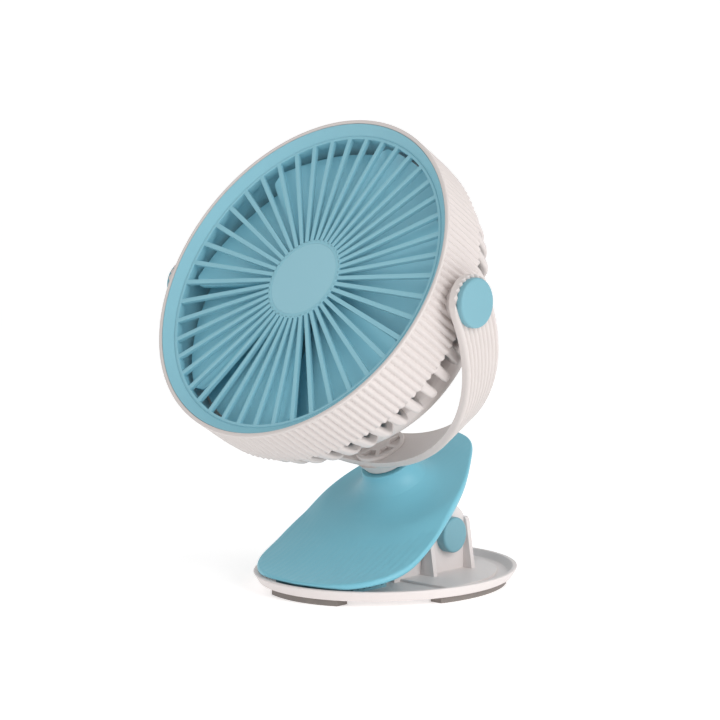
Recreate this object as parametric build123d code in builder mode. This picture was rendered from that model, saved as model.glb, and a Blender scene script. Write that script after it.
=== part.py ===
"""Clip fan with a six-inch head, a half-ring yoke and a sprung clip that is also its stand.

X runs across the fan, Y from the mouth of the clip (minus) to its levers (plus), Z up.
The origin is the middle of the base on the ground. All sizes are in millimetres.
"""

import math
import os

from build123d import *

os.makedirs("parts", exist_ok=True)

# ---------------------------------------------------------------- fits
run_gap = 0.05  # radial clearance of a pin or shaft that turns in its hole
seat_gap = 0.1  # between pieces of one body that fit into each other
move_gap = 0.3  # between faces that slide or swing past each other
overlap = 1.0  # how far a shape reaches into what it grows from, or a cut past a face

# ---------------------------------------------------------------- base
base_length = 131.0
base_width = 117.0
base_rim_top = 7.7
base_flare = 2.9  # how far the lip leans out past the underside
base_wall = 2.4
base_floor = 1.7
terrace_height = 1.2  # of the raised floor either side, over the channel between the uprights
terrace_channel = 32.0
terrace_front = -12.0
terrace_moat = 5.5  # between it and the wall of the base
foot_height = 2.9
foot_seat = 0.6  # depth of the pockets that hold the feet
foot_width = 6.0
foot_inset = 2.4
foot_side_length = 56.0
foot_side_y = 8.0
foot_end_length = 40.0
base_pad_height = 1.8
base_pad_width = 44.0
base_pad_length = 30.0
base_pad_y = -38.0
pad_rim_gap = 4.0  # between the pad and the wall of the base
pad_corner = 3.0
pad_groove_width = 1.2
pad_groove_depth = 0.6
pad_groove_pitch = 4.0
pad_grooves = 6

# ---------------------------------------------------------------- hinge
hinge_y = 18.0
hinge_z = 23.0
hinge_pin_radius = 2.0
upright_outside = 22.3  # from the middle of the clip
upright_thickness = 3.3
upright_radius = 14.0
upright_front = 16.0  # from the hinge axis to the front edge of the foot
gusset_reach = 5.4
gusset_top_reach = 1.6
gusset_thickness = 2.6
gusset_top = 30.0
buttress_reach = 18.0
buttress_height = 22.0
buttress_thickness = 2.6
buttress_lip = 1.0  # its height over the floor at its front
buttress_bevel = 2.0  # at its top
buttress_hold = 4.0  # how far it runs along the upright
washer_thickness = 0.8
hinge_cap_radius = 8.3
hinge_cap_height = 4.8
hinge_cap_edge = 1.2
ear_thickness = 3.0
ear_radius = 8.0
ear_spread = 18.0  # of the ears each way from the hinge, where they meet the jaw
ear_front_rise = 16.0
ear_rear_rise = 35.6
washer_margin = 2.0  # of the washers inside the ears

# ---------------------------------------------------------------- clamp spring
spring_wire = 1.6
spring_radius = 6.0  # to the middle of the wire
spring_pitch = 2.4
spring_leg_y = 45.0  # where the lower leg meets the floor of the base
spring_lever_y = 40.0  # where the upper leg meets the jaw
spring_lever_z = 62.25  # of the jaw's upper face over that leg
spring_leg_gap = 0.5  # between the leg and the jaw
spring_turns = 7  # whole turns; the part turn follows from the legs

# ---------------------------------------------------------------- upper jaw
jaw_thickness = 2.8
jaw_slope = 28.5  # of the plate, and of the swivel axis from upright, in degrees
jaw_crest = [(-66.0, 8.7), (-48.0, 13.2), (-28.0, 23.4), (0.0, 40.3), (28.0, 56.1), (53.0, 67.7)]
jaw_outline = [
    (0.0, -62.3),
    (20.5, -59.3),
    (33.5, -53.6),
    (41.3, -44.0),
    (44.0, -27.0),
    (41.5, -6.0),
    (35.0, 14.0),
    (24.5, 32.5),
    (12.5, 46.0),
    (0.0, 50.5),
]
jaw_pad_thickness = 1.5
jaw_pad_length = 25.0
jaw_pad_width = 52.0
jaw_pad_y = -40.0
jaw_pad_corner = 5.0
pedestal_height = 13.7  # from the jaw's upper face to its top, along its axis
pedestal_radius = 34.0
pedestal_neck = 12.4
pedestal_edge = 1.0  # of its top
pedestal_waist = (5.4, 8.6)  # of its flare, outwards and down from the edge
pedestal_sink = 0.4  # of the foot of its flare below the jaw's upper face
pedestal_wall = 3.5
pedestal_bore = 11.5

# ---------------------------------------------------------------- yoke
neck_height = 56.7  # of the joint between yoke and pedestal, over the middle of the base
yoke_clearance = 4.5  # between the drum and the inside of the ring
yoke_thickness = 3.4
yoke_half_width = 12.1
yoke_ridges = 9
yoke_ridge_depth = 0.8
boss_drop = 4.7  # of the yoke's boss below the ring
neck_gap = 0.5
boss_margin = 0.9  # of the boss's top past the sides of the ring
boss_low_radius = 10.0
boss_rise = 1.8  # of the boss over the inside of the ring
boss_edge = 0.6
boss_pocket_outer = 9.8
boss_pocket_inner = 5.0
boss_pocket_depth = 6.5
boss_webs = 6
boss_web_thickness = 2.0
spigot_radius = 6.0
spigot_recess = 0.2  # of its end inside the pedestal's wall
bush_wall = 1.35
swivel_screw_radius = 1.95
swivel_screw_length = 9.6
swivel_head_radius = 4.0
swivel_head_height = 2.5
screw_slot_length = 5.0
screw_slot_width = 0.9
screw_slot_depth = 1.2
swivel_washer_radius = 9.0
swivel_washer_height = 1.0
washer_space = 0.6  # between the arms of the yoke and the bosses of the drum
pivot_washer_margin = 0.4  # of the washers there inside the bosses
knob_margin = 1.1  # from the sides of the yoke in to the knobs
knob_height = 3.0
knob_seat = 0.5  # depth of the flat that each knob sits on
knob_edge = 1.0
pivot_screw_radius = 2.5
pivot_screw_wall = 1.8  # left between the tips of the screws and the inside of the drum

# ---------------------------------------------------------------- head
head_tilt = 30.7  # of the fan axis above level, in degrees
rim_ahead = 17.9  # from the pivot axis forward to the front rim
casing_radius = 78.8
casing_rib_depth = 1.0
casing_ribs = 132
casing_wall = 2.6  # under the ribs
casing_lip = 2.5
drum_depth = 19.0  # of the straight part of its side
casing_depth = 26.5
casing_draft = 0.5  # how far its side comes in at the back edge
pivot_boss_radius = 8.0
rim_width = 1.8  # of the drum's edge round the bezel
rim_depth = 2.0  # where the bezel rests in the drum
skirt_depth = 10.0  # of the bezel's skirt inside the drum
skirt_wall = 2.1
bezel_depth = 3.8
bezel_slope = 6.6  # how far the bezel comes in from its rim to its flat
bezel_flat = 1.4
spokes = 44
spoke_root_width = 1.9
spoke_tip_width = 2.3
spoke_depth = 3.0
spoke_phase = 4.09
hub_radius = 19.5
hub_disc_radius = 17.5
hub_disc_thickness = 1.6
hub_depth = 3.9
hub_disc_edge = 0.4
spoke_hold = 1.0  # how far the spokes reach into the hub and the bezel
fins = 50
fin_thickness = 2.4
fin_phase = 0.65
fin_rise = 14.0  # of the widest bend of a fin behind the drum
fin_margin = 6.6  # from the drum's side in to that bend
plate_behind = 10.5  # of the plate's front face behind the back edge of the drum
plate_thickness = 2.5
plate_margin = 17.0  # from the drum's side in to the edge of the plate
ring_width = 2.7
ring_inside = 4.0  # how far the ring of the rear grille reaches into the drum
ring_behind = 2.0  # how far it stands out of it
dome_rise = 27.0  # of the cover's back over the plate's front face
dome_crown = 1.4  # of that, how much is the bulge of its back
dome_lean = 2.5  # how far its side comes in from the plate to the back
dome_round = 12.0  # radius between its side and its back
dome_wall = 2.0
dome_foot = 11.0  # where the cover's side starts to lean, over the plate's front face

# ---------------------------------------------------------------- impeller and motor
blades = 7
blade_margin = 10.8  # from the drum's side in to the blade tips
blade_thickness = 1.6
blade_root_chord = 19.0
blade_tip_chord = 60.0
blade_root_pitch = 48.0
blade_tip_pitch = 15.0
blade_root_camber = 1.6
blade_tip_camber = 3.4
rotor_hub_radius = 14.0
rotor_front = 10.0  # behind the front rim
rotor_length = 17.0
rotor_wall = 2.0
rotor_edge = 2.0
rotor_face = 2.5  # thickness of its front
rotor_sleeve_radius = 4.0
rotor_sleeve_recess = 3.0  # of the sleeve inside the back of the rotor
nut_radius = 3.2
nut_height = 1.2
shaft_radius = 1.5
shaft_proud = 1.4  # of the shaft in front of the rotor
motor_radius = 12.0
motor_ahead = 5.5  # of the plate
motor_length = 18.5
motor_flange_radius = 15.8
motor_flange = 1.4
motor_edge = 1.0
motor_end_wall = 4.0
motor_screw_radius = 1.2
motor_screw_offset = 2.0  # from the motor's side out to its screws
motor_screw_head_radius = 1.9
motor_screw_head_height = 1.2
bush_radius = 3.5
bush_depth = 3.0  # of its seat in the motor
bush_length = 3.8

# ---------------------------------------------------------------- behind the plate
cell_radius = 9.2
cell_length = 65.0
cell_offset = 27.0
cell_cap_radius = 3.0
cell_cap_height = 1.5
saddle_offset = 20.0
saddle_thickness = 2.0
saddle_height = 5.0
board_width = 24.0
board_length = 27.0
board_margin = 9.3  # from the edge of the plate in to the edge of the board
board_recess = 9.1  # of the board inside the back of the cover
board_thickness = 1.6
board_post_radius = 1.8
post_inset = 4.0  # of the posts from the edges of the board
post_radius = 3.5  # of the posts for the screws of the plate
post_stop = 5.0  # of those posts inside the back of the cover
socket_width = 8.0
socket_height = 3.0
socket_length = 6.0
socket_proud = 2.0  # of the socket past the edge of the board
socket_wall = 0.5
socket_depth = 4.5
socket_tongue = 0.7
socket_corner = 1.0  # of the opening in the cover
switch_side = 6.0
switch_height = 1.4
plunger_radius = 1.7
plunger_height = 0.8
button_radius = 5.0
button_inset = 17.5  # from the edge of the board
button_travel = 1.0
button_proud = 0.9
button_edge = 0.6
button_flange_width = 1.2
button_flange_height = 0.8
lens_radius = 1.6
lens_inset = 26.5  # from the edge of the board
screw_radius = 1.45
screw_margin = 10.3  # from the edge of the plate in to the screws
screw_length = 12.0
screw_head_height = 1.4
screw_angles = [15.0, 165.0, 195.0, 345.0]

dome_gap = 0.4  # between the cover's side and the fins
fin_step = 0.2  # of the fins behind the front faces of the plate and the ring

# ---------------------------------------------------------------- what follows from them
floor_top = foot_height + base_floor
upright_inside = upright_outside - upright_thickness
ear_outside = upright_inside - washer_thickness - 2 * seat_gap
ear_inside = ear_outside - ear_thickness
yoke_inside = casing_radius + yoke_clearance
yoke_radius = yoke_inside + yoke_thickness
boss_top_radius = yoke_half_width + boss_margin
knob_radius = yoke_half_width - knob_margin
neck_drop = yoke_radius + boss_drop
bezel_radius = casing_radius - rim_width
plate_radius = casing_radius - plate_margin
casing_inside = casing_radius - casing_rib_depth - casing_wall
fin_bend_radius = casing_radius - fin_margin
fin_bend_depth = casing_depth + fin_rise
plate_front = casing_depth + plate_behind
dome_depth = plate_front + dome_rise
dome_foot_depth = plate_front + dome_foot
blade_tip_radius = casing_radius - blade_margin
rotor_back = rotor_front + rotor_length
motor_front = plate_front - motor_ahead
motor_back = motor_front + motor_length
board_far = plate_radius - board_margin
board_depth = dome_depth - board_recess
button_offset = board_far - button_inset
lens_offset = board_far - lens_inset
screw_circle = plate_radius - screw_margin
dome_slope = dome_crown / (plate_radius - dome_lean)
slope = math.radians(jaw_slope)
tilt = math.radians(head_tilt)
pivot_y = -neck_drop * math.sin(slope)
pivot_z = neck_height + neck_drop * math.cos(slope)
swivel_direction = Vector(0, -math.sin(slope), math.cos(slope))
fan_direction = Vector(0, -math.cos(tilt), math.sin(tilt))
across = Vector(1, 0, 0)
pivot = Vector(0, pivot_y, pivot_z)

# Across a shaft, and in a cut through its axis, with the radius as the first coordinate.
SWIVEL = Plane(origin=pivot, x_dir=across, z_dir=swivel_direction)
SWIVEL_CUT = Plane(origin=pivot, x_dir=across, z_dir=across.cross(swivel_direction))
SWIVEL_AXIS = Axis(pivot, swivel_direction)
HEAD = Plane(origin=pivot, x_dir=across, z_dir=fan_direction)
HEAD_CUT = Plane(origin=pivot, x_dir=across, z_dir=across.cross(fan_direction))
HEAD_AXIS = Axis(pivot, fan_direction)
YOKE_CUT = Plane(origin=pivot, x_dir=across, z_dir=swivel_direction)
YOKE_AXIS = Axis(pivot, YOKE_CUT.y_dir)


def behind(depth):
    """Height on the fan axis of a point that lies this deep behind the front rim."""
    return rim_ahead - depth


# ================================================================ base
# Moulded dish that stands on the table and is the lower half of the clip. Its floor is raised
# either side of the channel that the spring lies in.
def ellipse_at(height, inset):
    """Outline of the base at a height, moved inwards by an inset."""
    lean = base_flare * (base_rim_top - height) / (base_rim_top - foot_height)
    return base_width / 2 - lean - inset, base_length / 2 - lean - inset


upright_top = hinge_z + upright_radius
upright_front_y = hinge_y - upright_front
upright_rear_y = hinge_y + upright_radius
buried = (floor_top + foot_height + foot_seat) / 2  # inside the floor, over the foot pockets


def foot_outline(height, gap):
    """The four feet seen from above: arcs along the rim, grown by a gap."""
    outer_x, outer_y = ellipse_at(foot_height, foot_inset - gap)
    inner_x, inner_y = ellipse_at(foot_height, foot_inset + foot_width + gap)
    with BuildSketch() as bands:
        with Locations((0, foot_side_y)):
            Rectangle(base_width, foot_side_length + 2 * gap)
        Rectangle(foot_end_length + 2 * gap, base_length)
    with BuildSketch(Plane.XY.offset(height)) as feet:
        Ellipse(outer_x, outer_y)
        Ellipse(inner_x, inner_y, mode=Mode.SUBTRACT)
        add(bands.sketch, mode=Mode.INTERSECT)
    return feet.sketch


with BuildPart() as base_plate:
    for height in (foot_height, base_rim_top):
        with BuildSketch(Plane.XY.offset(height)):
            Ellipse(*ellipse_at(height, 0))
    loft()
    for height in (floor_top, base_rim_top):
        with BuildSketch(Plane.XY.offset(height)):
            Ellipse(*ellipse_at(height, base_wall))
    loft(mode=Mode.SUBTRACT)
    fillet(base_plate.edges().group_by(Axis.Z)[-1], radius=base_wall / 4)
    with BuildSketch(Plane.XY.offset(buried)):
        Ellipse(*ellipse_at(floor_top, base_wall + terrace_moat))
        Rectangle(terrace_channel, base_length, mode=Mode.SUBTRACT)
        with Locations((0, terrace_front - base_length / 2)):
            Rectangle(base_width, base_length, mode=Mode.SUBTRACT)
    extrude(amount=floor_top + terrace_height - buried)
    with BuildSketch(Plane.YZ.offset(upright_inside)):
        with BuildLine():
            Polyline(
                (upright_rear_y, hinge_z),
                (upright_rear_y, buried),
                (upright_front_y, buried),
                (hinge_y - upright_radius, hinge_z),
            )
            ThreePointArc(
                (hinge_y - upright_radius, hinge_z), (hinge_y, upright_top), (upright_rear_y, hinge_z)
            )
        make_face()
    extrude(amount=upright_thickness)
    for gusset_y in (upright_front_y + gusset_thickness, upright_rear_y):
        with BuildSketch(Plane.XZ.offset(-gusset_y)):
            with BuildLine():
                Polyline(
                    (upright_inside, buried),
                    (upright_outside + gusset_reach, buried),
                    (upright_outside + gusset_top_reach, gusset_top - gusset_top_reach),
                    (upright_outside, gusset_top),
                    (upright_inside, gusset_top),
                    (upright_inside, buried),
                )
            make_face()
        extrude(amount=gusset_thickness)
    with BuildSketch(Plane.YZ.offset(upright_inside)):
        Polygon(
            (upright_front_y + buttress_hold, buried),
            (upright_front_y + buttress_hold, buttress_height),
            (upright_front_y, buttress_height - buttress_bevel),
            (upright_front_y - buttress_reach, floor_top + buttress_lip),
            (upright_front_y - buttress_reach, buried),
            align=None,
        )
    extrude(amount=-buttress_thickness)
    mirror(about=Plane.YZ)
    with BuildSketch(Plane.YZ.offset(-base_width / 2)):
        with Locations((hinge_y, hinge_z)):
            Circle(hinge_pin_radius + run_gap)
    extrude(amount=base_width, mode=Mode.SUBTRACT)
    extrude(foot_outline(foot_height, seat_gap), amount=foot_seat, mode=Mode.SUBTRACT)
base_plate.part.label = "base_plate"
export_step(base_plate.part, "parts/base_plate.step")

# Soft feet let into the underside: one under the mouth, one under the levers, one each side.
with BuildPart() as base_feet:
    extrude(foot_outline(0, 0), amount=foot_height + foot_seat - seat_gap)
base_feet.part.label = "base_feet"
export_step(base_feet.part, "parts/base_feet.step")

# Ribbed rubber grip on the floor of the mouth.
pad_ellipse = ellipse_at(floor_top, base_wall + pad_rim_gap)
with BuildSketch() as pad_shape:
    Ellipse(*pad_ellipse)
    with Locations((0, base_pad_y)):
        Rectangle(base_pad_width, base_pad_length, mode=Mode.INTERSECT)
    fillet(pad_shape.vertices(), radius=pad_corner)
with BuildPart() as base_grip_pad:
    with BuildSketch(Plane.XY.offset(floor_top)):
        add(pad_shape.sketch)
    extrude(amount=base_pad_height)
    with BuildSketch(Plane.XY.offset(floor_top + base_pad_height)):
        with Locations((0, base_pad_y)):
            with GridLocations(0, pad_groove_pitch, 1, pad_grooves):
                Rectangle(base_width, pad_groove_width)
    extrude(amount=-pad_groove_depth, mode=Mode.SUBTRACT)
base_grip_pad.part.label = "base_grip_pad"
export_step(base_grip_pad.part, "parts/base_grip_pad.step")

# ================================================================ hinge
# Steel pin through the uprights and the ears of the jaw, with a press-on cap at each end.
cap_depth = hinge_cap_height - hinge_cap_edge
with BuildPart() as hinge_pin:
    with BuildSketch(Plane.YZ.offset(-upright_outside - cap_depth + seat_gap)):
        with Locations((hinge_y, hinge_z)):
            Circle(hinge_pin_radius)
    extrude(amount=2 * (upright_outside + cap_depth - seat_gap))
hinge_pin.part.label = "hinge_pin"
export_step(hinge_pin.part, "parts/hinge_pin.step")

with BuildPart() as hinge_caps:
    with BuildSketch(Plane.YZ.offset(upright_outside)):
        with Locations((hinge_y, hinge_z)):
            Circle(hinge_cap_radius)
    extrude(amount=hinge_cap_height)
    fillet(hinge_caps.edges().group_by(Axis.X)[-1], radius=hinge_cap_edge)
    with BuildSketch(Plane.YZ.offset(upright_outside)):
        with Locations((hinge_y, hinge_z)):
            Circle(hinge_pin_radius + run_gap)
    extrude(amount=cap_depth, mode=Mode.SUBTRACT)
    mirror(about=Plane.YZ)
hinge_caps.part.label = "hinge_caps"
export_step(hinge_caps.part, "parts/hinge_caps.step")

# Plain washers that keep the ears off the uprights.
with BuildPart() as hinge_washers:
    with BuildSketch(Plane.YZ.offset(ear_outside + seat_gap)):
        with Locations((hinge_y, hinge_z)):
            Circle(ear_radius - washer_margin)
            Circle(hinge_pin_radius + run_gap, mode=Mode.SUBTRACT)
    extrude(amount=washer_thickness)
    mirror(about=Plane.YZ)
hinge_washers.part.label = "hinge_washers"
export_step(hinge_washers.part, "parts/hinge_washers.step")


# ================================================================ upper jaw
# Curved plate that closes on the front of the base; its rear end is the lever that is pressed.
# A flared pedestal rises from it to carry the yoke, and two ears hang from it to the hinge.
def jaw_band(top, bottom):
    """Side view of a layer of the plate, between two distances below its upper face."""
    along = Vector(math.sin(slope), -math.cos(slope))
    upper = [(y + top * along.X, z + top * along.Y) for y, z in jaw_crest]
    lower = [(y + bottom * along.X, z + bottom * along.Y) for y, z in jaw_crest]
    with BuildSketch(Plane.YZ) as band:
        with BuildLine():
            Spline(*upper)
            Line(upper[-1], lower[-1])
            Spline(*lower)
            Line(lower[0], upper[0])
        make_face()
    return band.sketch


swivel_top = neck_drop + neck_gap  # depth of the pedestal's top below the pivot axis
plate_drop = swivel_top + pedestal_height  # where the swivel axis meets the plate's upper face
foot_drop = plate_drop + pedestal_sink
edge_bend = (1 - math.sqrt(0.5)) * pedestal_edge
bush_hole = spigot_radius + run_gap + bush_wall + seat_gap

with BuildPart() as jaw_shell:
    extrude(jaw_band(0, jaw_thickness), amount=base_width / 2, both=True)
    with BuildSketch(Plane.XY):
        with BuildLine():
            Spline(*jaw_outline, tangents=((1, 0), (-1, 0)))
            Line(jaw_outline[-1], jaw_outline[0])
        make_face()
        mirror(about=Plane.YZ)
    extrude(amount=pivot_z, mode=Mode.INTERSECT)
    with BuildSketch(SWIVEL_CUT):
        with BuildLine():
            Line((0, -swivel_top), (pedestal_neck - pedestal_edge, -swivel_top))
            ThreePointArc(
                (pedestal_neck - pedestal_edge, -swivel_top),
                (pedestal_neck - edge_bend, -swivel_top - edge_bend),
                (pedestal_neck, -swivel_top - pedestal_edge),
            )
            ThreePointArc(
                (pedestal_neck, -swivel_top - pedestal_edge),
                (
                    pedestal_neck + pedestal_waist[0],
                    -swivel_top - pedestal_edge - pedestal_waist[1],
                ),
                (pedestal_radius, -foot_drop),
            )
            Polyline(
                (pedestal_radius, -foot_drop),
                (pedestal_radius, -foot_drop - overlap),
                (0, -foot_drop - overlap),
                (0, -swivel_top),
            )
        make_face()
    revolve(axis=SWIVEL_AXIS)
    with BuildSketch(SWIVEL.offset(-swivel_top - pedestal_wall)):
        Circle(pedestal_bore)
    extrude(amount=pedestal_wall - pedestal_height - 3 * jaw_thickness, mode=Mode.SUBTRACT)
    with BuildSketch(SWIVEL.offset(-swivel_top)):
        Circle(bush_hole)
    extrude(amount=-pedestal_wall - overlap, mode=Mode.SUBTRACT)
    with BuildSketch(Plane.XY):
        Rectangle(base_width * 2, base_length * 2)
    extrude(amount=base_rim_top + move_gap, mode=Mode.SUBTRACT)
    with BuildSketch(Plane.YZ.offset(ear_inside)):
        with BuildLine():
            CenterArc((hinge_y, hinge_z), ear_radius, 180, 180)
            Polyline(
                (hinge_y + ear_radius, hinge_z),
                (hinge_y + ear_spread, hinge_z + ear_rear_rise),
                (hinge_y - ear_spread, hinge_z + ear_front_rise),
                (hinge_y - ear_radius, hinge_z),
            )
        make_face()
    extrude(amount=ear_thickness)
    mirror(about=Plane.YZ)
    with BuildSketch(Plane.YZ.offset(-base_width / 2)):
        with Locations((hinge_y, hinge_z)):
            Circle(hinge_pin_radius + run_gap)
    extrude(amount=base_width, mode=Mode.SUBTRACT)
jaw_shell.part.label = "jaw_shell"
export_step(jaw_shell.part, "parts/jaw_shell.step")

# Rubber grip under the front of the jaw.
with BuildPart() as jaw_grip_pad:
    pad_band = jaw_band(jaw_thickness + seat_gap, jaw_thickness + seat_gap + jaw_pad_thickness)
    extrude(pad_band, amount=jaw_pad_width / 2, both=True)
    with BuildSketch(Plane.XY):
        with Locations((0, jaw_pad_y)):
            RectangleRounded(jaw_pad_width, jaw_pad_length, jaw_pad_corner)
    extrude(amount=pivot_z, mode=Mode.INTERSECT)
jaw_grip_pad.part.label = "jaw_grip_pad"
export_step(jaw_grip_pad.part, "parts/jaw_grip_pad.step")

# Bush that lines the pedestal for the spigot of the yoke.
with BuildPart() as neck_bush:
    with BuildSketch(SWIVEL.offset(-swivel_top - 2 * seat_gap)):
        Circle(bush_hole - seat_gap)
        Circle(spigot_radius + run_gap, mode=Mode.SUBTRACT)
    extrude(amount=3 * seat_gap - pedestal_wall)
neck_bush.part.label = "neck_bush"
export_step(neck_bush.part, "parts/neck_bush.step")

# ================================================================ clamp spring
# Torsion spring wound on the hinge pin, one leg on the base and one under the lever.
jaw_under = spring_lever_z - jaw_thickness / math.cos(slope)
spring_top = (spring_lever_y, jaw_under - spring_wire / 2 - spring_leg_gap)
spring_foot = (spring_leg_y, floor_top + spring_wire / 2 + move_gap)


def tangent_angle(tip, side):
    """Angle on the coil where the straight leg to a tip leaves it."""
    along_y = tip[0] - hinge_y
    along_z = tip[1] - hinge_z
    spread = math.acos(spring_radius / math.hypot(along_y, along_z))
    return math.atan2(along_z, along_y) + side * spread


def coil_point(angle, x):
    """Point of the coil's middle line."""
    return Vector(
        x, hinge_y + spring_radius * math.cos(angle), hinge_z + spring_radius * math.sin(angle)
    )


def coil_tangent(angle):
    """Direction of the wire, which climbs along X as it goes round."""
    climb = spring_pitch / (2 * math.pi)
    along = Vector(climb, spring_radius * math.sin(angle), -spring_radius * math.cos(angle))
    return along.normalized()


def biarc(start, start_dir, end, end_dir):
    """Two arcs that leave one point and reach the next in the given directions."""
    chord = end - start
    both = start_dir + end_dir
    bend = 2 * (1 - start_dir.dot(end_dir))
    reach = (math.sqrt(chord.dot(both) ** 2 + bend * chord.dot(chord)) - chord.dot(both)) / bend
    first = start + start_dir * reach
    second = end - end_dir * reach
    middle = (first + second) * 0.5
    return [
        Edge.make_tangent_arc(start, start_dir, middle),
        Edge.make_tangent_arc(middle, (second - first).normalized(), end),
    ]


coil_start = tangent_angle(spring_foot, -1)
coil_end = tangent_angle(spring_top, 1)
coil_turns = spring_turns + ((coil_start - coil_end) % (2 * math.pi)) / (2 * math.pi)
coil_half_turns = math.ceil(2 * coil_turns)
coil_length = coil_turns * spring_pitch
coil_knots = []
for step in range(coil_half_turns + 1):
    share = step / coil_half_turns
    knot_angle = coil_start - 2 * math.pi * coil_turns * share
    coil_knots.append((knot_angle, coil_length * (share - 0.5)))
leg_start = Vector(-coil_length / 2, *spring_foot)
leg_end = Vector(coil_length / 2, *spring_top)
spring_edges = [Edge.make_line(leg_start, coil_point(*coil_knots[0]))]
for (angle_a, x_a), (angle_b, x_b) in zip(coil_knots, coil_knots[1:]):
    spring_edges += biarc(
        coil_point(angle_a, x_a), coil_tangent(angle_a), coil_point(angle_b, x_b), coil_tangent(angle_b)
    )
spring_edges.append(Edge.make_line(coil_point(*coil_knots[-1]), leg_end))
spring_path = Wire(spring_edges)

with BuildPart() as clamp_spring:
    leg_direction = (coil_point(*coil_knots[0]) - leg_start).normalized()
    with BuildSketch(Plane(origin=leg_start, z_dir=leg_direction)):
        Circle(spring_wire / 2)
    sweep(path=spring_path)
clamp_spring.part.label = "clamp_spring"
export_step(clamp_spring.part, "parts/clamp_spring.step")

spring_points = [spring_path.position_at(i / 600) for i in range(601)]
spring_step = spring_path.length / 600
neighbours = math.ceil(2 * spring_wire / spring_step)
least_gap = min(
    (a - b).length - spring_wire
    for i, a in enumerate(spring_points)
    for b in spring_points[i + neighbours :]
)
print("clamp spring: turns", round(coil_turns, 2), "least gap to itself", round(least_gap, 2))

# ================================================================ yoke
# Half ring with fluted outer face; its arms hold the head and its boss turns on the pedestal.
ridge_width = 2 * yoke_half_width / yoke_ridges
knob_face = yoke_radius - knob_seat
boss_face = yoke_inside - boss_rise
spigot_end = swivel_top + pedestal_wall + spigot_recess


def ridge_outline(crest):
    """Cut through the band: flat inside, with a row of rounded ridges outside."""
    with BuildLine() as outline:
        Polyline(
            (crest - yoke_ridge_depth, -yoke_half_width),
            (yoke_inside, -yoke_half_width),
            (yoke_inside, yoke_half_width),
            (crest - yoke_ridge_depth, yoke_half_width),
        )
        for ridge in range(yoke_ridges):
            low = -yoke_half_width + ridge * ridge_width
            ThreePointArc(
                (crest - yoke_ridge_depth, low),
                (crest, low + ridge_width / 2),
                (crest - yoke_ridge_depth, low + ridge_width),
            )
    return outline.line


with BuildPart() as yoke_end:
    with BuildSketch(YOKE_CUT):
        add(ridge_outline(yoke_radius))
        make_face()
    extrude(amount=yoke_half_width)
    with BuildSketch(Plane.YZ.offset(yoke_inside)):
        with Locations((pivot_y, pivot_z)):
            Circle(yoke_half_width)
    extrude(amount=yoke_thickness, mode=Mode.INTERSECT)

with BuildPart() as yoke:
    with BuildSketch(YOKE_CUT):
        add(ridge_outline(yoke_radius))
        make_face()
    revolve(axis=YOKE_AXIS, revolution_arc=180)
    add(yoke_end.part)
    add(yoke_end.part.mirror(Plane.YZ))
    with BuildSketch(SWIVEL_CUT):
        with BuildLine():
            Polyline(
                (0, -boss_face),
                (yoke_half_width - boss_edge, -boss_face),
                (yoke_half_width, -boss_face - boss_edge),
                (yoke_half_width, -yoke_radius + overlap),
                (boss_top_radius, -yoke_radius + overlap),
                (boss_low_radius, -neck_drop),
                (spigot_radius, -neck_drop),
                (spigot_radius, -spigot_end),
                (0, -spigot_end),
                (0, -boss_face),
            )
        make_face()
    revolve(axis=SWIVEL_AXIS)
    with BuildSketch(SWIVEL.offset(-boss_face)) as pockets:
        Circle(boss_pocket_outer)
        Circle(boss_pocket_inner, mode=Mode.SUBTRACT)
        with PolarLocations((boss_pocket_outer + boss_pocket_inner) / 2, boss_webs):
            Rectangle(boss_pocket_outer, boss_web_thickness, mode=Mode.SUBTRACT)
    extrude(amount=-boss_pocket_depth, mode=Mode.SUBTRACT)
    with BuildSketch(SWIVEL.offset(-spigot_end)):
        Circle(swivel_screw_radius + run_gap)
    extrude(amount=swivel_screw_length - 2 * spigot_recess, mode=Mode.SUBTRACT)
    for side in (-1, 1):
        with BuildSketch(Plane.YZ.offset(side * knob_face)):
            with Locations((pivot_y, pivot_z)):
                Circle(knob_radius + seat_gap)
        extrude(amount=side * knob_height, mode=Mode.SUBTRACT)
        with BuildSketch(Plane.YZ.offset(side * yoke_inside)):
            with Locations((pivot_y, pivot_z)):
                Circle(pivot_boss_radius + move_gap)
        extrude(amount=-side * 2 * overlap, mode=Mode.SUBTRACT)
    with BuildSketch(Plane.YZ.offset(-yoke_radius - overlap)):
        with Locations((pivot_y, pivot_z)):
            Circle(pivot_screw_radius + run_gap)
    extrude(amount=2 * (yoke_radius + overlap), mode=Mode.SUBTRACT)
yoke.part.label = "yoke"
export_step(yoke.part, "parts/yoke.step")

# Screw and washer that hold the yoke down on the pedestal and let it turn.
screw_head_depth = spigot_end + spigot_recess + swivel_washer_height + 2 * seat_gap
with BuildPart() as swivel_washer:
    with BuildSketch(SWIVEL.offset(-screw_head_depth + seat_gap)):
        Circle(swivel_washer_radius)
        Circle(swivel_screw_radius + seat_gap, mode=Mode.SUBTRACT)
    extrude(amount=swivel_washer_height)
swivel_washer.part.label = "swivel_washer"
export_step(swivel_washer.part, "parts/swivel_washer.step")

with BuildPart() as swivel_screw:
    with BuildSketch(SWIVEL.offset(-screw_head_depth)):
        Circle(swivel_screw_radius)
    extrude(amount=swivel_screw_length)
    with BuildSketch(SWIVEL.offset(-screw_head_depth)):
        Circle(swivel_head_radius)
    extrude(amount=-swivel_head_height)
    with BuildSketch(SWIVEL.offset(-screw_head_depth - swivel_head_height)):
        Rectangle(screw_slot_length, screw_slot_width)
        Rectangle(screw_slot_width, screw_slot_length)
    extrude(amount=screw_slot_depth, mode=Mode.SUBTRACT)
swivel_screw.part.label = "swivel_screw"
export_step(swivel_screw.part, "parts/swivel_screw.step")

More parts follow.
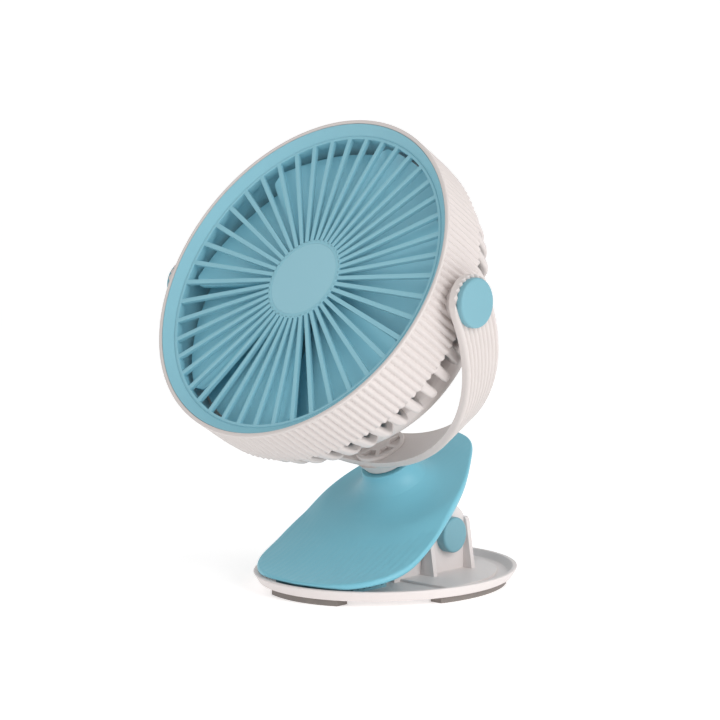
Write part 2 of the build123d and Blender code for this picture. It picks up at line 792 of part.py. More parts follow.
# Knobs that cover the pivot screws.
screw_head_space = 2.0
with BuildPart() as pivot_knobs:
    with BuildSketch(Plane.YZ.offset(knob_face)):
        with Locations((pivot_y, pivot_z)):
            Circle(knob_radius)
    extrude(amount=knob_height)
    fillet(pivot_knobs.edges().group_by(Axis.X)[-1], radius=knob_edge)
    with BuildSketch(Plane.YZ.offset(knob_face)):
        with Locations((pivot_y, pivot_z)):
            Circle(pivot_screw_radius * 2 + move_gap)
    extrude(amount=screw_head_space, mode=Mode.SUBTRACT)
    mirror(about=Plane.YZ)
pivot_knobs.part.label = "pivot_knobs"
export_step(pivot_knobs.part, "parts/pivot_knobs.step")

# Thin washers between the arms and the bosses of the head.
with BuildPart() as pivot_washers:
    with BuildSketch(Plane.YZ.offset(yoke_inside - washer_space)):
        with Locations((pivot_y, pivot_z)):
            Circle(pivot_boss_radius - pivot_washer_margin)
            Circle(pivot_screw_radius + run_gap, mode=Mode.SUBTRACT)
    extrude(amount=washer_space - run_gap)
    mirror(about=Plane.YZ)
pivot_washers.part.label = "pivot_washers"
export_step(pivot_washers.part, "parts/pivot_washers.step")

# ================================================================ head
# Ribbed drum, open at both ends; the grille snaps into its front, the rear grille into its back.
rib_stations = [
    (casing_radius, casing_lip),
    (casing_radius, drum_depth),
    (casing_radius - casing_draft, casing_depth),
]
boss_end = yoke_inside - washer_space - seat_gap
screw_tip = casing_inside + pivot_screw_wall


def rib_star(radius):
    """Outline of the drum: sharp ribs with as many valleys between them."""
    points = []
    for corner in range(2 * casing_ribs):
        turn = math.pi * corner / casing_ribs
        reach = radius - casing_rib_depth * (corner % 2)
        points.append((reach * math.cos(turn), reach * math.sin(turn)))
    return points


with BuildPart() as casing:
    for radius, depth in rib_stations:
        with BuildSketch(HEAD.offset(behind(depth))):
            with BuildLine():
                Polyline(*rib_star(radius), close=True)
            make_face()
    loft(ruled=True)
    with BuildSketch(HEAD.offset(behind(casing_lip))):
        Circle(casing_radius)
    extrude(amount=casing_lip)
    for side in (-1, 1):
        with BuildSketch(Plane.YZ.offset(side * boss_end)):
            with Locations((pivot_y, pivot_z)):
                Circle(pivot_boss_radius)
        extrude(amount=-side * (boss_end - casing_inside - overlap))
    with BuildSketch(HEAD_CUT):
        with BuildLine():
            Polyline(
                (0, behind(-overlap)),
                (bezel_radius + seat_gap, behind(-overlap)),
                (bezel_radius + seat_gap, behind(rim_depth)),
                (casing_inside, behind(rim_depth)),
                (casing_inside, behind(casing_depth + overlap)),
                (0, behind(casing_depth + overlap)),
                (0, behind(-overlap)),
            )
        make_face()
    revolve(axis=HEAD_AXIS, mode=Mode.SUBTRACT)
    for side in (-1, 1):
        with BuildSketch(Plane.YZ.offset(side * (screw_tip - 2 * seat_gap))):
            with Locations((pivot_y, pivot_z)):
                Circle(pivot_screw_radius + run_gap)
        extrude(amount=side * (yoke_radius - screw_tip), mode=Mode.SUBTRACT)
casing.part.label = "casing"
export_step(casing.part, "parts/casing.step")

# Pivot screws: turned into the bosses of the casing, free in the arms of the yoke.
with BuildPart() as pivot_screws:
    with BuildSketch(Plane.YZ.offset(screw_tip)):
        with Locations((pivot_y, pivot_z)):
            Circle(pivot_screw_radius)
    extrude(amount=knob_face + seat_gap - screw_tip)
    with BuildSketch(Plane.YZ.offset(knob_face + seat_gap)):
        with Locations((pivot_y, pivot_z)):
            Circle(pivot_screw_radius * 2)
    extrude(amount=screw_head_space - move_gap - seat_gap)
    mirror(about=Plane.YZ)
pivot_screws.part.label = "pivot_screws"
export_step(pivot_screws.part, "parts/pivot_screws.step")

# Front grille: sloped bezel, straight spokes and a hub, in one moulding.
spoke_inner = hub_radius - spoke_hold
bezel_inner = bezel_radius - bezel_slope - bezel_flat
spoke_outer = bezel_inner + spoke_hold
bezel_back = bezel_depth + spoke_depth + seat_gap
with BuildPart() as front_grille:
    with BuildSketch(HEAD.offset(behind(hub_depth + spoke_depth))):
        with PolarLocations((spoke_inner + spoke_outer) / 2, spokes, start_angle=spoke_phase):
            Polygon(
                ((spoke_inner - spoke_outer) / 2, -spoke_root_width / 2),
                ((spoke_outer - spoke_inner) / 2, -spoke_tip_width / 2),
                ((spoke_outer - spoke_inner) / 2, spoke_tip_width / 2),
                ((spoke_inner - spoke_outer) / 2, spoke_root_width / 2),
                align=None,
            )
        Circle(hub_radius)
    extrude(amount=spoke_depth)
    with BuildSketch(HEAD_CUT):
        with BuildLine():
            Polyline(
                (bezel_radius, behind(0)),
                (bezel_inner + bezel_flat, behind(bezel_depth)),
                (bezel_inner, behind(bezel_depth)),
                (bezel_inner, behind(bezel_back)),
                (casing_inside - seat_gap - skirt_wall, behind(bezel_back)),
                (casing_inside - seat_gap - skirt_wall, behind(skirt_depth)),
                (casing_inside - seat_gap, behind(skirt_depth)),
                (casing_inside - seat_gap, behind(rim_depth - seat_gap)),
                (bezel_radius, behind(rim_depth - seat_gap)),
                (bezel_radius, behind(0)),
            )
        make_face()
    revolve(axis=HEAD_AXIS)
    with BuildSketch(HEAD.offset(behind(hub_depth))):
        Circle(hub_disc_radius + seat_gap)
    extrude(amount=-hub_disc_thickness - seat_gap, mode=Mode.SUBTRACT)
front_grille.part.label = "front_grille"
export_step(front_grille.part, "parts/front_grille.step")

# Plain disc let into the hub of the grille.
with BuildPart() as hub_disc:
    with BuildSketch(HEAD.offset(behind(hub_depth + hub_disc_thickness))):
        Circle(hub_disc_radius)
    extrude(amount=hub_disc_thickness)
    fillet(hub_disc.edges().sort_by(HEAD_AXIS)[-1], radius=hub_disc_edge)
hub_disc.part.label = "hub_disc"
export_step(hub_disc.part, "parts/hub_disc.step")

# Rear grille: plate that carries the motor, ringed by radial fins with the air inlets between.
plate_back = plate_front + plate_thickness
cell_depth = plate_back + cell_radius + move_gap
cell_place = HEAD.from_local_coords((-cell_length / 2, cell_offset, behind(cell_depth)))
CELL = Plane(origin=cell_place, x_dir=(0, 1, 0), z_dir=across)
ring_radius = casing_inside - seat_gap
ring_bore = ring_radius - ring_width
ring_front = casing_depth - ring_inside
ring_back = casing_depth + ring_behind
fin_stop = casing_depth + seat_gap
fin_foot = dome_foot_depth
with BuildPart() as fin_ring:
    with BuildSketch(HEAD.offset(behind(ring_front))):
        with PolarLocations((plate_radius + casing_radius) / 2, fins, start_angle=fin_phase):
            Rectangle(casing_radius - plate_radius + 4 * overlap, fin_thickness)
    extrude(amount=ring_front - fin_foot - overlap)
    with BuildSketch(HEAD_CUT):
        with BuildLine():
            ThreePointArc(
                (casing_radius - casing_draft - seat_gap, behind(fin_stop)),
                (fin_bend_radius, behind(fin_bend_depth)),
                (plate_radius + dome_gap, behind(fin_foot)),
            )
            Polyline(
                (plate_radius + dome_gap, behind(fin_foot)),
                (plate_radius + dome_gap, behind(plate_back)),
                (plate_radius - overlap, behind(plate_back)),
                (plate_radius - overlap, behind(plate_front + fin_step)),
                (ring_bore + ring_width / 4, behind(ring_back)),
                (ring_bore + ring_width / 4, behind(ring_front + fin_step)),
                (ring_radius - ring_width / 4, behind(ring_front + fin_step)),
                (ring_radius - ring_width / 4, behind(fin_stop)),
                (casing_radius - casing_draft - seat_gap, behind(fin_stop)),
            )
        make_face()
    revolve(axis=HEAD_AXIS, mode=Mode.INTERSECT)

with BuildPart() as rear_grille:
    with BuildSketch(HEAD.offset(behind(plate_front))):
        Circle(plate_radius)
    extrude(amount=-plate_thickness)
    with BuildSketch(HEAD_CUT):
        with BuildLine():
            Polyline(
                (ring_bore, behind(ring_front)),
                (ring_radius, behind(ring_front)),
                (ring_radius, behind(ring_back)),
                (ring_bore, behind(ring_back)),
                (ring_bore, behind(ring_front)),
            )
        make_face()
    revolve(axis=HEAD_AXIS)
    add(fin_ring.part)
    with BuildSketch(HEAD.offset(behind(plate_back))):
        for side in (-1, 1):
            with Locations((side * saddle_offset, cell_offset)):
                Rectangle(saddle_thickness, 2 * cell_radius)
    extrude(amount=-saddle_height)
    with BuildSketch(CELL):
        Circle(cell_radius + move_gap)
    extrude(amount=cell_length, mode=Mode.SUBTRACT)
    with BuildSketch(HEAD.offset(behind(plate_front))):
        Circle(motor_radius + seat_gap)
    extrude(amount=-plate_thickness, mode=Mode.SUBTRACT)
    with BuildSketch(HEAD.offset(behind(plate_front))):
        for angle in screw_angles:
            with PolarLocations(screw_circle, 1, start_angle=angle):
                Circle(screw_radius + seat_gap)
        with PolarLocations(motor_radius + motor_screw_offset, 2):
            Circle(motor_screw_radius + run_gap)
    extrude(amount=-plate_thickness, mode=Mode.SUBTRACT)
rear_grille.part.label = "rear_grille"
export_step(rear_grille.part, "parts/rear_grille.step")


# Smooth cover over the motor, cell and board.
def dome_outline(inset):
    """Cut through the cover from its middle to its foot, moved in by a wall."""
    with BuildLine() as outline:
        FilletPolyline(
            (0, behind(dome_depth - inset)),
            (plate_radius - dome_lean - inset, behind(dome_depth - dome_crown - inset)),
            (plate_radius - inset, behind(dome_foot_depth)),
            radius=dome_round - inset,
        )
    return outline.line


with BuildPart() as rear_dome:
    dome_front = plate_back + seat_gap
    for inset, mode in ((0.0, Mode.ADD), (dome_wall, Mode.SUBTRACT)):
        with BuildSketch(HEAD_CUT):
            with BuildLine():
                add(dome_outline(inset))
                Polyline(
                    (plate_radius - inset, behind(dome_foot_depth)),
                    (plate_radius - inset, behind(dome_front)),
                    (0, behind(dome_front)),
                    (0, behind(dome_depth - inset)),
                )
            make_face()
        revolve(axis=HEAD_AXIS, mode=mode)
    with BuildSketch(HEAD.offset(behind(dome_front))):
        for angle in screw_angles:
            with PolarLocations(screw_circle, 1, start_angle=angle):
                Circle(post_radius)
    extrude(amount=dome_front - dome_depth + post_stop)
    with BuildSketch(HEAD.offset(behind(board_depth + board_thickness + seat_gap))):
        for x in (-1, 1):
            for y in (board_far - post_inset, board_far - board_length + post_inset):
                with Locations((x * (board_width / 2 - post_inset), -y)):
                    Circle(board_post_radius)
    extrude(amount=board_thickness + seat_gap + dome_wall + move_gap - board_recess)
    with BuildSketch(HEAD.offset(behind(dome_front))):
        for angle in screw_angles:
            with PolarLocations(screw_circle, 1, start_angle=angle):
                Circle(screw_radius + run_gap)
    extrude(amount=-screw_length, mode=Mode.SUBTRACT)
    with BuildSketch(HEAD.offset(behind(dome_depth + overlap))):
        with Locations((0, -button_offset)):
            Circle(button_radius + 2 * seat_gap)
        with Locations((0, -lens_offset)):
            Circle(lens_radius + seat_gap)
    extrude(amount=2 * (dome_wall + overlap), mode=Mode.SUBTRACT)
    socket_middle = board_depth - seat_gap - socket_height / 2
    socket_place = HEAD.from_local_coords((0, -board_far, behind(socket_middle)))
    with BuildSketch(Plane(origin=socket_place, x_dir=across, z_dir=-HEAD.y_dir)):
        RectangleRounded(socket_width + 4 * move_gap, socket_height + 3 * move_gap, socket_corner)
    extrude(amount=plate_radius - board_far, mode=Mode.SUBTRACT)
rear_dome.part.label = "rear_dome"
export_step(rear_dome.part, "parts/rear_dome.step")

# Self-tapping screws from the plate into the posts of the cover.
with BuildPart() as casing_screws:
    with BuildSketch(HEAD.offset(behind(plate_front - seat_gap))):
        for angle in screw_angles:
            with PolarLocations(screw_circle, 1, start_angle=angle):
                Circle(screw_radius)
    extrude(amount=-screw_length)
    with BuildSketch(HEAD.offset(behind(plate_front - seat_gap))):
        for angle in screw_angles:
            with PolarLocations(screw_circle, 1, start_angle=angle):
                Circle(2 * screw_radius)
    extrude(amount=screw_head_height)
casing_screws.part.label = "casing_screws"
export_step(casing_screws.part, "parts/casing_screws.step")

# ================================================================ motor
# Can motor held in the plate by its flange, with a sintered bush at its nose.
flange_front = plate_back + seat_gap
flange_back = flange_front + motor_flange
with BuildPart() as motor_can:
    with BuildSketch(HEAD_CUT):
        with BuildLine():
            Polyline(
                (shaft_radius + seat_gap, behind(motor_front + bush_depth)),
                (bush_radius + seat_gap, behind(motor_front + bush_depth)),
                (bush_radius + seat_gap, behind(motor_front)),
                (motor_radius - motor_edge, behind(motor_front)),
                (motor_radius, behind(motor_front + motor_edge)),
                (motor_radius, behind(flange_front)),
                (motor_flange_radius, behind(flange_front)),
                (motor_flange_radius, behind(flange_back)),
                (motor_radius, behind(flange_back)),
                (motor_radius, behind(motor_back - motor_edge)),
                (motor_radius - motor_edge, behind(motor_back)),
                (0, behind(motor_back)),
                (0, behind(motor_back - motor_end_wall)),
                (shaft_radius + seat_gap, behind(motor_back - motor_end_wall)),
                (shaft_radius + seat_gap, behind(motor_front + bush_depth)),
            )
        make_face()
    revolve(axis=HEAD_AXIS)
    with BuildSketch(HEAD.offset(behind(plate_back))):
        with PolarLocations(motor_radius + motor_screw_offset, 2):
            Circle(motor_screw_radius + run_gap)
    extrude(amount=-motor_flange - seat_gap - overlap, mode=Mode.SUBTRACT)
motor_can.part.label = "motor_can"
export_step(motor_can.part, "parts/motor_can.step")

with BuildPart() as motor_bush:
    with BuildSketch(HEAD.offset(behind(motor_front + bush_depth - seat_gap))):
        Circle(bush_radius)
        Circle(shaft_radius + run_gap, mode=Mode.SUBTRACT)
    extrude(amount=bush_length)
motor_bush.part.label = "motor_bush"
export_step(motor_bush.part, "parts/motor_bush.step")

with BuildPart() as motor_screws:
    with BuildSketch(HEAD.offset(behind(plate_front + fin_step))):
        with PolarLocations(motor_radius + motor_screw_offset, 2):
            Circle(motor_screw_radius)
    extrude(amount=plate_front + fin_step - flange_back - seat_gap)
    with BuildSketch(HEAD.offset(behind(flange_back + seat_gap))):
        with PolarLocations(motor_radius + motor_screw_offset + seat_gap, 2):
            Circle(motor_screw_head_radius)
    extrude(amount=-motor_screw_head_height)
motor_screws.part.label = "motor_screws"
export_step(motor_screws.part, "parts/motor_screws.step")

# ================================================================ impeller
# Hub cup with cambered blades, flatter towards their tips, pressed on the motor shaft.
shaft_back = motor_back - motor_end_wall - overlap
with BuildPart() as motor_shaft:
    with BuildSketch(HEAD.offset(behind(shaft_back))):
        Circle(shaft_radius)
    extrude(amount=shaft_back - rotor_front + shaft_proud)
motor_shaft.part.label = "motor_shaft"
export_step(motor_shaft.part, "parts/motor_shaft.step")


def blade_section(radius, chord, pitch, camber):
    """Cut through a blade at a radius: a thin bowed plate, set at a pitch to the fan's plane."""
    middle = behind((rotor_front + rotor_back) / 2)
    place = HEAD.from_local_coords((radius, 0, middle))
    along = Vector(math.cos(math.radians(pitch)), math.sin(math.radians(pitch)))
    rise = Vector(-along.Y, along.X)
    faces = []
    for level in (-blade_thickness / 2, blade_thickness / 2):
        faces.append(
            [
                along * (-chord / 2) + rise * level,
                rise * (camber + level),
                along * (chord / 2) + rise * level,
            ]
        )
    with BuildSketch(Plane(origin=place, x_dir=HEAD.y_dir, z_dir=across)) as section:
        with BuildLine():
            ThreePointArc(*faces[0])
            Line(faces[0][2], faces[1][2])
            ThreePointArc(*faces[1])
            Line(faces[1][0], faces[0][0])
        make_face()
    return section.sketch


blade_root = rotor_hub_radius - 0.7 * rotor_wall
blade_end = blade_tip_radius + 4 * overlap
with BuildPart() as blade:
    add(blade_section(blade_root, blade_root_chord, blade_root_pitch, blade_root_camber))
    add(blade_section(blade_end, blade_tip_chord, blade_tip_pitch, blade_tip_camber))
    loft(ruled=True)
    with BuildSketch(HEAD.offset(behind(rotor_back + 2 * overlap))):
        Circle(blade_tip_radius)
    extrude(amount=rotor_length + 4 * overlap, mode=Mode.INTERSECT)

with BuildPart() as impeller:
    with BuildSketch(HEAD_CUT):
        with BuildLine():
            Polyline(
                (shaft_radius + run_gap, behind(rotor_front)),
                (rotor_hub_radius - rotor_edge, behind(rotor_front)),
                (rotor_hub_radius, behind(rotor_front + rotor_edge)),
                (rotor_hub_radius, behind(rotor_back)),
                (rotor_hub_radius - rotor_wall, behind(rotor_back)),
                (rotor_hub_radius - rotor_wall, behind(rotor_front + rotor_face)),
                (rotor_sleeve_radius, behind(rotor_front + rotor_face)),
                (rotor_sleeve_radius, behind(rotor_back - rotor_sleeve_recess)),
                (shaft_radius + run_gap, behind(rotor_back - rotor_sleeve_recess)),
                (shaft_radius + run_gap, behind(rotor_front)),
            )
        make_face()
    revolve(axis=HEAD_AXIS)
    for number in range(blades):
        add(blade.part.rotate(HEAD_AXIS, 360 * number / blades))
impeller.part.label = "impeller"
export_step(impeller.part, "parts/impeller.step")

with BuildPart() as impeller_nut:
    with BuildSketch(HEAD.offset(behind(rotor_front - seat_gap))):
        RegularPolygon(nut_radius, 6)
        Circle(shaft_radius + run_gap, mode=Mode.SUBTRACT)
    extrude(amount=nut_height)
impeller_nut.part.label = "impeller_nut"
export_step(impeller_nut.part, "parts/impeller_nut.step")

# ================================================================ cell, board and controls
# Rechargeable cell across the upper half of the cover, in two saddles on the plate.
with BuildPart() as battery_cell:
    with BuildSketch(CELL):
        Circle(cell_radius)
    extrude(amount=cell_length - cell_cap_height)
    with BuildSketch(CELL.offset(cell_length - cell_cap_height)):
        Circle(cell_cap_radius)
    extrude(amount=cell_cap_height)
battery_cell.part.label = "battery_cell"
export_step(battery_cell.part, "parts/battery_cell.step")

# Circuit board with its push switch and lamp, screwed to posts inside the cover.
board_middle = board_far - board_length / 2
with BuildPart() as control_board:
    with BuildSketch(HEAD.offset(behind(board_depth + board_thickness))):
        with Locations((0, -board_middle)):
            Rectangle(board_width, board_length)
    extrude(amount=board_thickness)
    with BuildSketch(HEAD.offset(behind(board_depth + board_thickness))):
        with Locations((0, -button_offset)):
            Rectangle(switch_side, switch_side)
    extrude(amount=-switch_height)
    with BuildSketch(HEAD.offset(behind(board_depth + board_thickness + switch_height))):
        with Locations((0, -button_offset)):
            Circle(plunger_radius)
    extrude(amount=-plunger_height)
control_board.part.label = "control_board"
export_step(control_board.part, "parts/control_board.step")

# Charging socket on the outer edge of the board.
mouth_place = HEAD.from_local_coords((0, -board_far - socket_proud, behind(socket_middle)))
SOCKET_MOUTH = Plane(origin=mouth_place, x_dir=across, z_dir=HEAD.y_dir)
with BuildPart() as usb_socket:
    with BuildSketch(SOCKET_MOUTH):
        Rectangle(socket_width, socket_height)
    extrude(amount=socket_length)
    with BuildSketch(SOCKET_MOUTH):
        Rectangle(socket_width - 2 * socket_wall, socket_height - 2 * socket_wall)
    extrude(amount=socket_depth, mode=Mode.SUBTRACT)
    with BuildSketch(SOCKET_MOUTH):
        Rectangle(socket_width - 6 * socket_wall, socket_tongue)
    extrude(amount=socket_depth + socket_wall)
usb_socket.part.label = "usb_socket"
export_step(usb_socket.part, "parts/usb_socket.step")

# Push button in the back of the cover.
plunger_end = board_depth + board_thickness + switch_height + plunger_height
button_foot = plunger_end + button_travel + move_gap
with BuildPart() as power_button:
    with BuildSketch(HEAD.offset(behind(button_foot))):
        with Locations((0, -button_offset)):
            Circle(button_radius + button_flange_width)
    extrude(amount=-button_flange_height)
    button_top = dome_depth - dome_slope * button_offset + button_proud
    with BuildSketch(HEAD.offset(behind(button_foot))):
        with Locations((0, -button_offset)):
            Circle(button_radius)
    extrude(amount=button_foot - button_top)
    fillet(power_button.edges().group_by(HEAD_AXIS)[0], radius=button_edge)
power_button.part.label = "power_button"
export_step(power_button.part, "parts/power_button.step")

# Lamp window beside the button.
with BuildPart() as status_lens:
    lens_back = dome_depth - dome_slope * lens_offset
    with BuildSketch(HEAD.offset(behind(lens_back))):
        with Locations((0, -lens_offset)):
            Circle(lens_radius)
    extrude(amount=dome_wall + overlap)
status_lens.part.label = "status_lens"
export_step(status_lens.part, "parts/status_lens.step")
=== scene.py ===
import math

import bmesh
import bpy
from mathutils import Matrix, Vector


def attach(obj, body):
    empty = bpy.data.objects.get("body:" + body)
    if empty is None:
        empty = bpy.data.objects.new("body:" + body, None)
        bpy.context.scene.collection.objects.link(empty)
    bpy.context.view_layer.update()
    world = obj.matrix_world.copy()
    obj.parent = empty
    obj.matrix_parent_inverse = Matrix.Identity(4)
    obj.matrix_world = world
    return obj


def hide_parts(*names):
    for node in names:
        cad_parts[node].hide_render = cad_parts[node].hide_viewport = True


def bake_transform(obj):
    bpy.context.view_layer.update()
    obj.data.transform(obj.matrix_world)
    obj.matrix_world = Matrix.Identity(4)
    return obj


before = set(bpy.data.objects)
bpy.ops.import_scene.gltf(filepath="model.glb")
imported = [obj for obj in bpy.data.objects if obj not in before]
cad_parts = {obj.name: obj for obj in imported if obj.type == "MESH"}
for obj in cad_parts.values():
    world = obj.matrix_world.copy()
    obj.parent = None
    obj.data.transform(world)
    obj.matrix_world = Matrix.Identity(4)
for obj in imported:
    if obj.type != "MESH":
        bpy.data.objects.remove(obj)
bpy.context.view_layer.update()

# ------------------------------------------------------------------ camera, light and table
# Product shot on a white sweep: a long lens a little above the table, a large soft box over
# the fan's left shoulder, a weaker one on the other side and white all round.
camera_turn = math.radians(41.798)
camera_rise = math.radians(5.698)
camera_distance = 1.05
camera_aim = Vector((-0.00257, -0.01529, 0.10485))
lens = bpy.data.cameras.new("camera")
lens.lens = 115.0
lens.sensor_width = 36.0
lens.clip_end = 20.0
camera = bpy.data.objects.new("camera", lens)
camera.matrix_world = (
    Matrix.Translation(camera_aim)
    @ Matrix.Rotation(camera_turn, 4, "Z")
    @ Matrix.Rotation(math.pi / 2 - camera_rise, 4, "X")
    @ Matrix.Translation((0, 0, camera_distance))
)
bpy.context.scene.collection.objects.link(camera)
bpy.context.scene.camera = camera
bpy.context.scene.view_settings.view_transform = "Standard"


def soft_box(name, place, size, power):
    """A square area light that faces the middle of the fan."""
    lamp = bpy.data.lights.new(name, "AREA")
    lamp.shape = "SQUARE"
    lamp.size = size
    lamp.energy = power
    box = bpy.data.objects.new(name, lamp)
    box.location = place
    fan_middle = Vector((0.0, -0.03, 0.12))
    box.rotation_euler = (fan_middle - Vector(place)).to_track_quat("-Z", "Y").to_euler()
    bpy.context.scene.collection.objects.link(box)


soft_box("key light", (1.1, -0.1, 0.6), 0.8, 8.0)
soft_box("front light", (-0.55, -1.35, 0.9), 1.0, 3.0)

room = bpy.data.worlds.new("white room")
room.use_nodes = True
room.node_tree.nodes["Background"].inputs["Color"].default_value = (1.0, 1.0, 1.0, 1.0)
room.node_tree.nodes["Background"].inputs["Strength"].default_value = 0.58
bpy.context.scene.world = room


class Socket:
    """An output of a shader node that adds and multiplies like a number."""

    def __init__(self, finish, link):
        self.finish = finish
        self.link = link

    def combined(self, operation, other):
        return self.finish.node("ShaderNodeMath", {"operation": operation}, {0: other, 1: self})

    def __add__(self, other):
        return self.combined("ADD", other)

    __radd__ = __add__

    def __mul__(self, other):
        return self.combined("MULTIPLY", other)

    __rmul__ = __mul__


class Finish:
    """A material under construction: node() adds a node and returns one of its outputs."""

    def __init__(self, name):
        self.material = bpy.data.materials.new(name)
        self.material.use_nodes = True
        self.tree = self.material.node_tree
        self.surface = self.tree.nodes["Principled BSDF"]

    def node(self, kind, settings, sockets, output=0):
        made = self.tree.nodes.new(kind)
        for key, value in settings.items():
            setattr(made, key, value)
        for key, value in sockets.items():
            self.feed(made.inputs[key], value)
        return Socket(self, made.outputs[output])

    def feed(self, target, value):
        if isinstance(value, Socket):
            self.tree.links.new(value.link, target)
        else:
            target.default_value = value

    def set(self, **values):
        """Sets or links the shader's own sockets, named with underscores for spaces."""
        for key, value in values.items():
            self.feed(self.surface.inputs[key.replace("_", " ")], value)
        return self.material

    def noise(self, scale, detail=2.0):
        """Cloudy noise from 0 to 1 in the piece's own space."""
        place = self.node("ShaderNodeTexCoord", {}, {}, "Object")
        sockets = {"Vector": place, "Scale": scale, "Detail": detail}
        return self.node("ShaderNodeTexNoise", {}, sockets, "Fac")

    def between(self, share, first, second):
        """A colour that goes from one to another with a share from 0 to 1."""
        first_colour, second_colour, mixed_colour = 6, 7, 2
        sockets = {"Factor": share, first_colour: (*first, 1.0), second_colour: (*second, 1.0)}
        return self.node("ShaderNodeMix", {"data_type": "RGBA"}, sockets, mixed_colour)

    def grain(self, scale, height):
        """The bump of a fine surface grain, with its height in metres."""
        sockets = {"Height": self.noise(scale), "Distance": height, "Strength": 1.0}
        return self.node("ShaderNodeBump", {}, sockets)


def shown(name, bm, material, sharp):
    """Turns a mesh under construction into an object; edges past the sharp angle stay crisp."""
    bmesh.ops.recalc_face_normals(bm, faces=bm.faces)
    mesh = bpy.data.meshes.new(name)
    bm.to_mesh(mesh)
    bm.free()
    mesh.shade_smooth()
    mesh.set_sharp_from_angle(angle=math.radians(sharp))
    mesh.materials.append(material)
    piece = bpy.data.objects.new(name, mesh)
    bpy.context.scene.collection.objects.link(piece)
    return piece


sweep_size = 4.0
sweep_reach = 2.0
sweep_bend = 1.2
sweep_finish = Finish("paper sweep")
sweep_paper = sweep_finish.set(
    Base_Color=sweep_finish.between(sweep_finish.noise(3.0), (0.93,) * 3, (0.97,) * 3),
    Roughness=0.85,
    Emission_Color=(1.0, 1.0, 1.0, 1.0),
    Emission_Strength=0.37,
)
bm = bmesh.new()
front_corners = [bm.verts.new((side * sweep_size, -sweep_size, 0.0)) for side in (-1, 1)]
floor = bmesh.ops.extrude_edge_only(bm, edges=[bm.edges.new(front_corners)])["geom"]
rear_corners = [part for part in floor if isinstance(part, bmesh.types.BMVert)]
bmesh.ops.translate(bm, vec=(0, sweep_size + sweep_reach, 0), verts=rear_corners)
rear_edge = [edge for edge in bm.edges if all(corner in rear_corners for corner in edge.verts)]
bmesh.ops.spin(
    bm,
    geom=rear_corners + rear_edge,
    cent=(0, sweep_reach, sweep_bend),
    axis=(1, 0, 0),
    angle=math.pi / 2,
    steps=24,
)
bmesh.ops.remove_doubles(bm, verts=bm.verts, dist=0.0001)
sweep = shown("sweep", bm, sweep_paper, 180.0)
sweep.rotation_euler = (0, 0, camera_turn)

# ------------------------------------------------------------------ base
# Moulded white dish that stands on the table and is the lower half of the clip. Two uprights
# with gussets and inner buttresses rise from its floor and carry the hinge pin.
def paint(hexes):
    """A colour as a person reads it off a screen, turned into the light it reflects."""
    shades = [int(hexes[i : i + 2], 16) / 255 for i in (0, 2, 4)]
    return tuple(((s + 0.055) / 1.055) ** 2.4 if s > 0.04045 else s / 12.92 for s in shades)


def moulded_plastic(name, light, dark, roughness):
    """Injection-moulded plastic: a fine etched grain, broad clouding and rubbed spots."""
    finish = Finish(name)
    return finish.set(
        Base_Color=finish.between(finish.noise(22.0, 3.0), paint(dark), paint(light)),
        Roughness=roughness - 0.05 + 0.1 * finish.noise(140.0, 4.0),
        Normal=finish.grain(2600.0, 0.000035),
        IOR=1.46,
        Subsurface_Weight=0.04,
        Subsurface_Radius=(0.002, 0.002, 0.002),
    )


def bowed(first, corner, second, steps):
    """Points on a curve between two places that heads for a corner and turns away from it."""
    line = []
    for step in range(steps + 1):
        t = step / steps
        spot = first.lerp(corner, t).lerp(corner.lerp(second, t), t)
        line.append((spot.x, spot.y))
    return line


def rounded(corners, steps=6):
    """Points along a closed cut whose corners (radius, height, fillet) are rounded off."""
    points = []
    for number, (x, y, fillet) in enumerate(corners):
        here = Vector((x, y))
        if not fillet:
            points.append((x, y))
            continue
        before = Vector(corners[number - 1][:2]) - here
        after = Vector(corners[(number + 1) % len(corners)][:2]) - here
        reach = fillet / math.tan(before.angle(after) / 2)
        reach = min(reach, before.length * 0.49, after.length * 0.49)
        ends = [here + side.normalized() * reach for side in (before, after)]
        points += bowed(ends[0], here, ends[1], steps)
    return points


def arc(middle, radius, start, end, step):
    """Points on a round stretch of an outline; its angles are in whole degrees."""
    turns = [math.radians(turn) for turn in range(start, end + 1, step)]
    return [(middle.x + radius * math.cos(t), middle.y + radius * math.sin(t)) for t in turns]


def turned(bm, cut, steps=192, place=None):
    """Spins a closed cut of (radius, height) points round the Z axis and sets it in place."""
    before = set(bm.verts)
    knots = [bm.verts.new((radius, 0, height)) for radius, height in cut]
    sides = zip(knots, knots[1:] + knots[:1])
    lines = [bm.edges.new(pair) for pair in sides if max(knot.co.x for knot in pair) > 1e-6]
    bmesh.ops.spin(
        bm, geom=knots + lines, axis=(0, 0, 1), angle=2 * math.pi, steps=steps, use_merge=True
    )
    bmesh.ops.remove_doubles(bm, verts=bm.verts, dist=0.0001)
    if place:
        fresh = [corner for corner in bm.verts if corner not in before]
        bmesh.ops.transform(bm, matrix=place, verts=fresh)


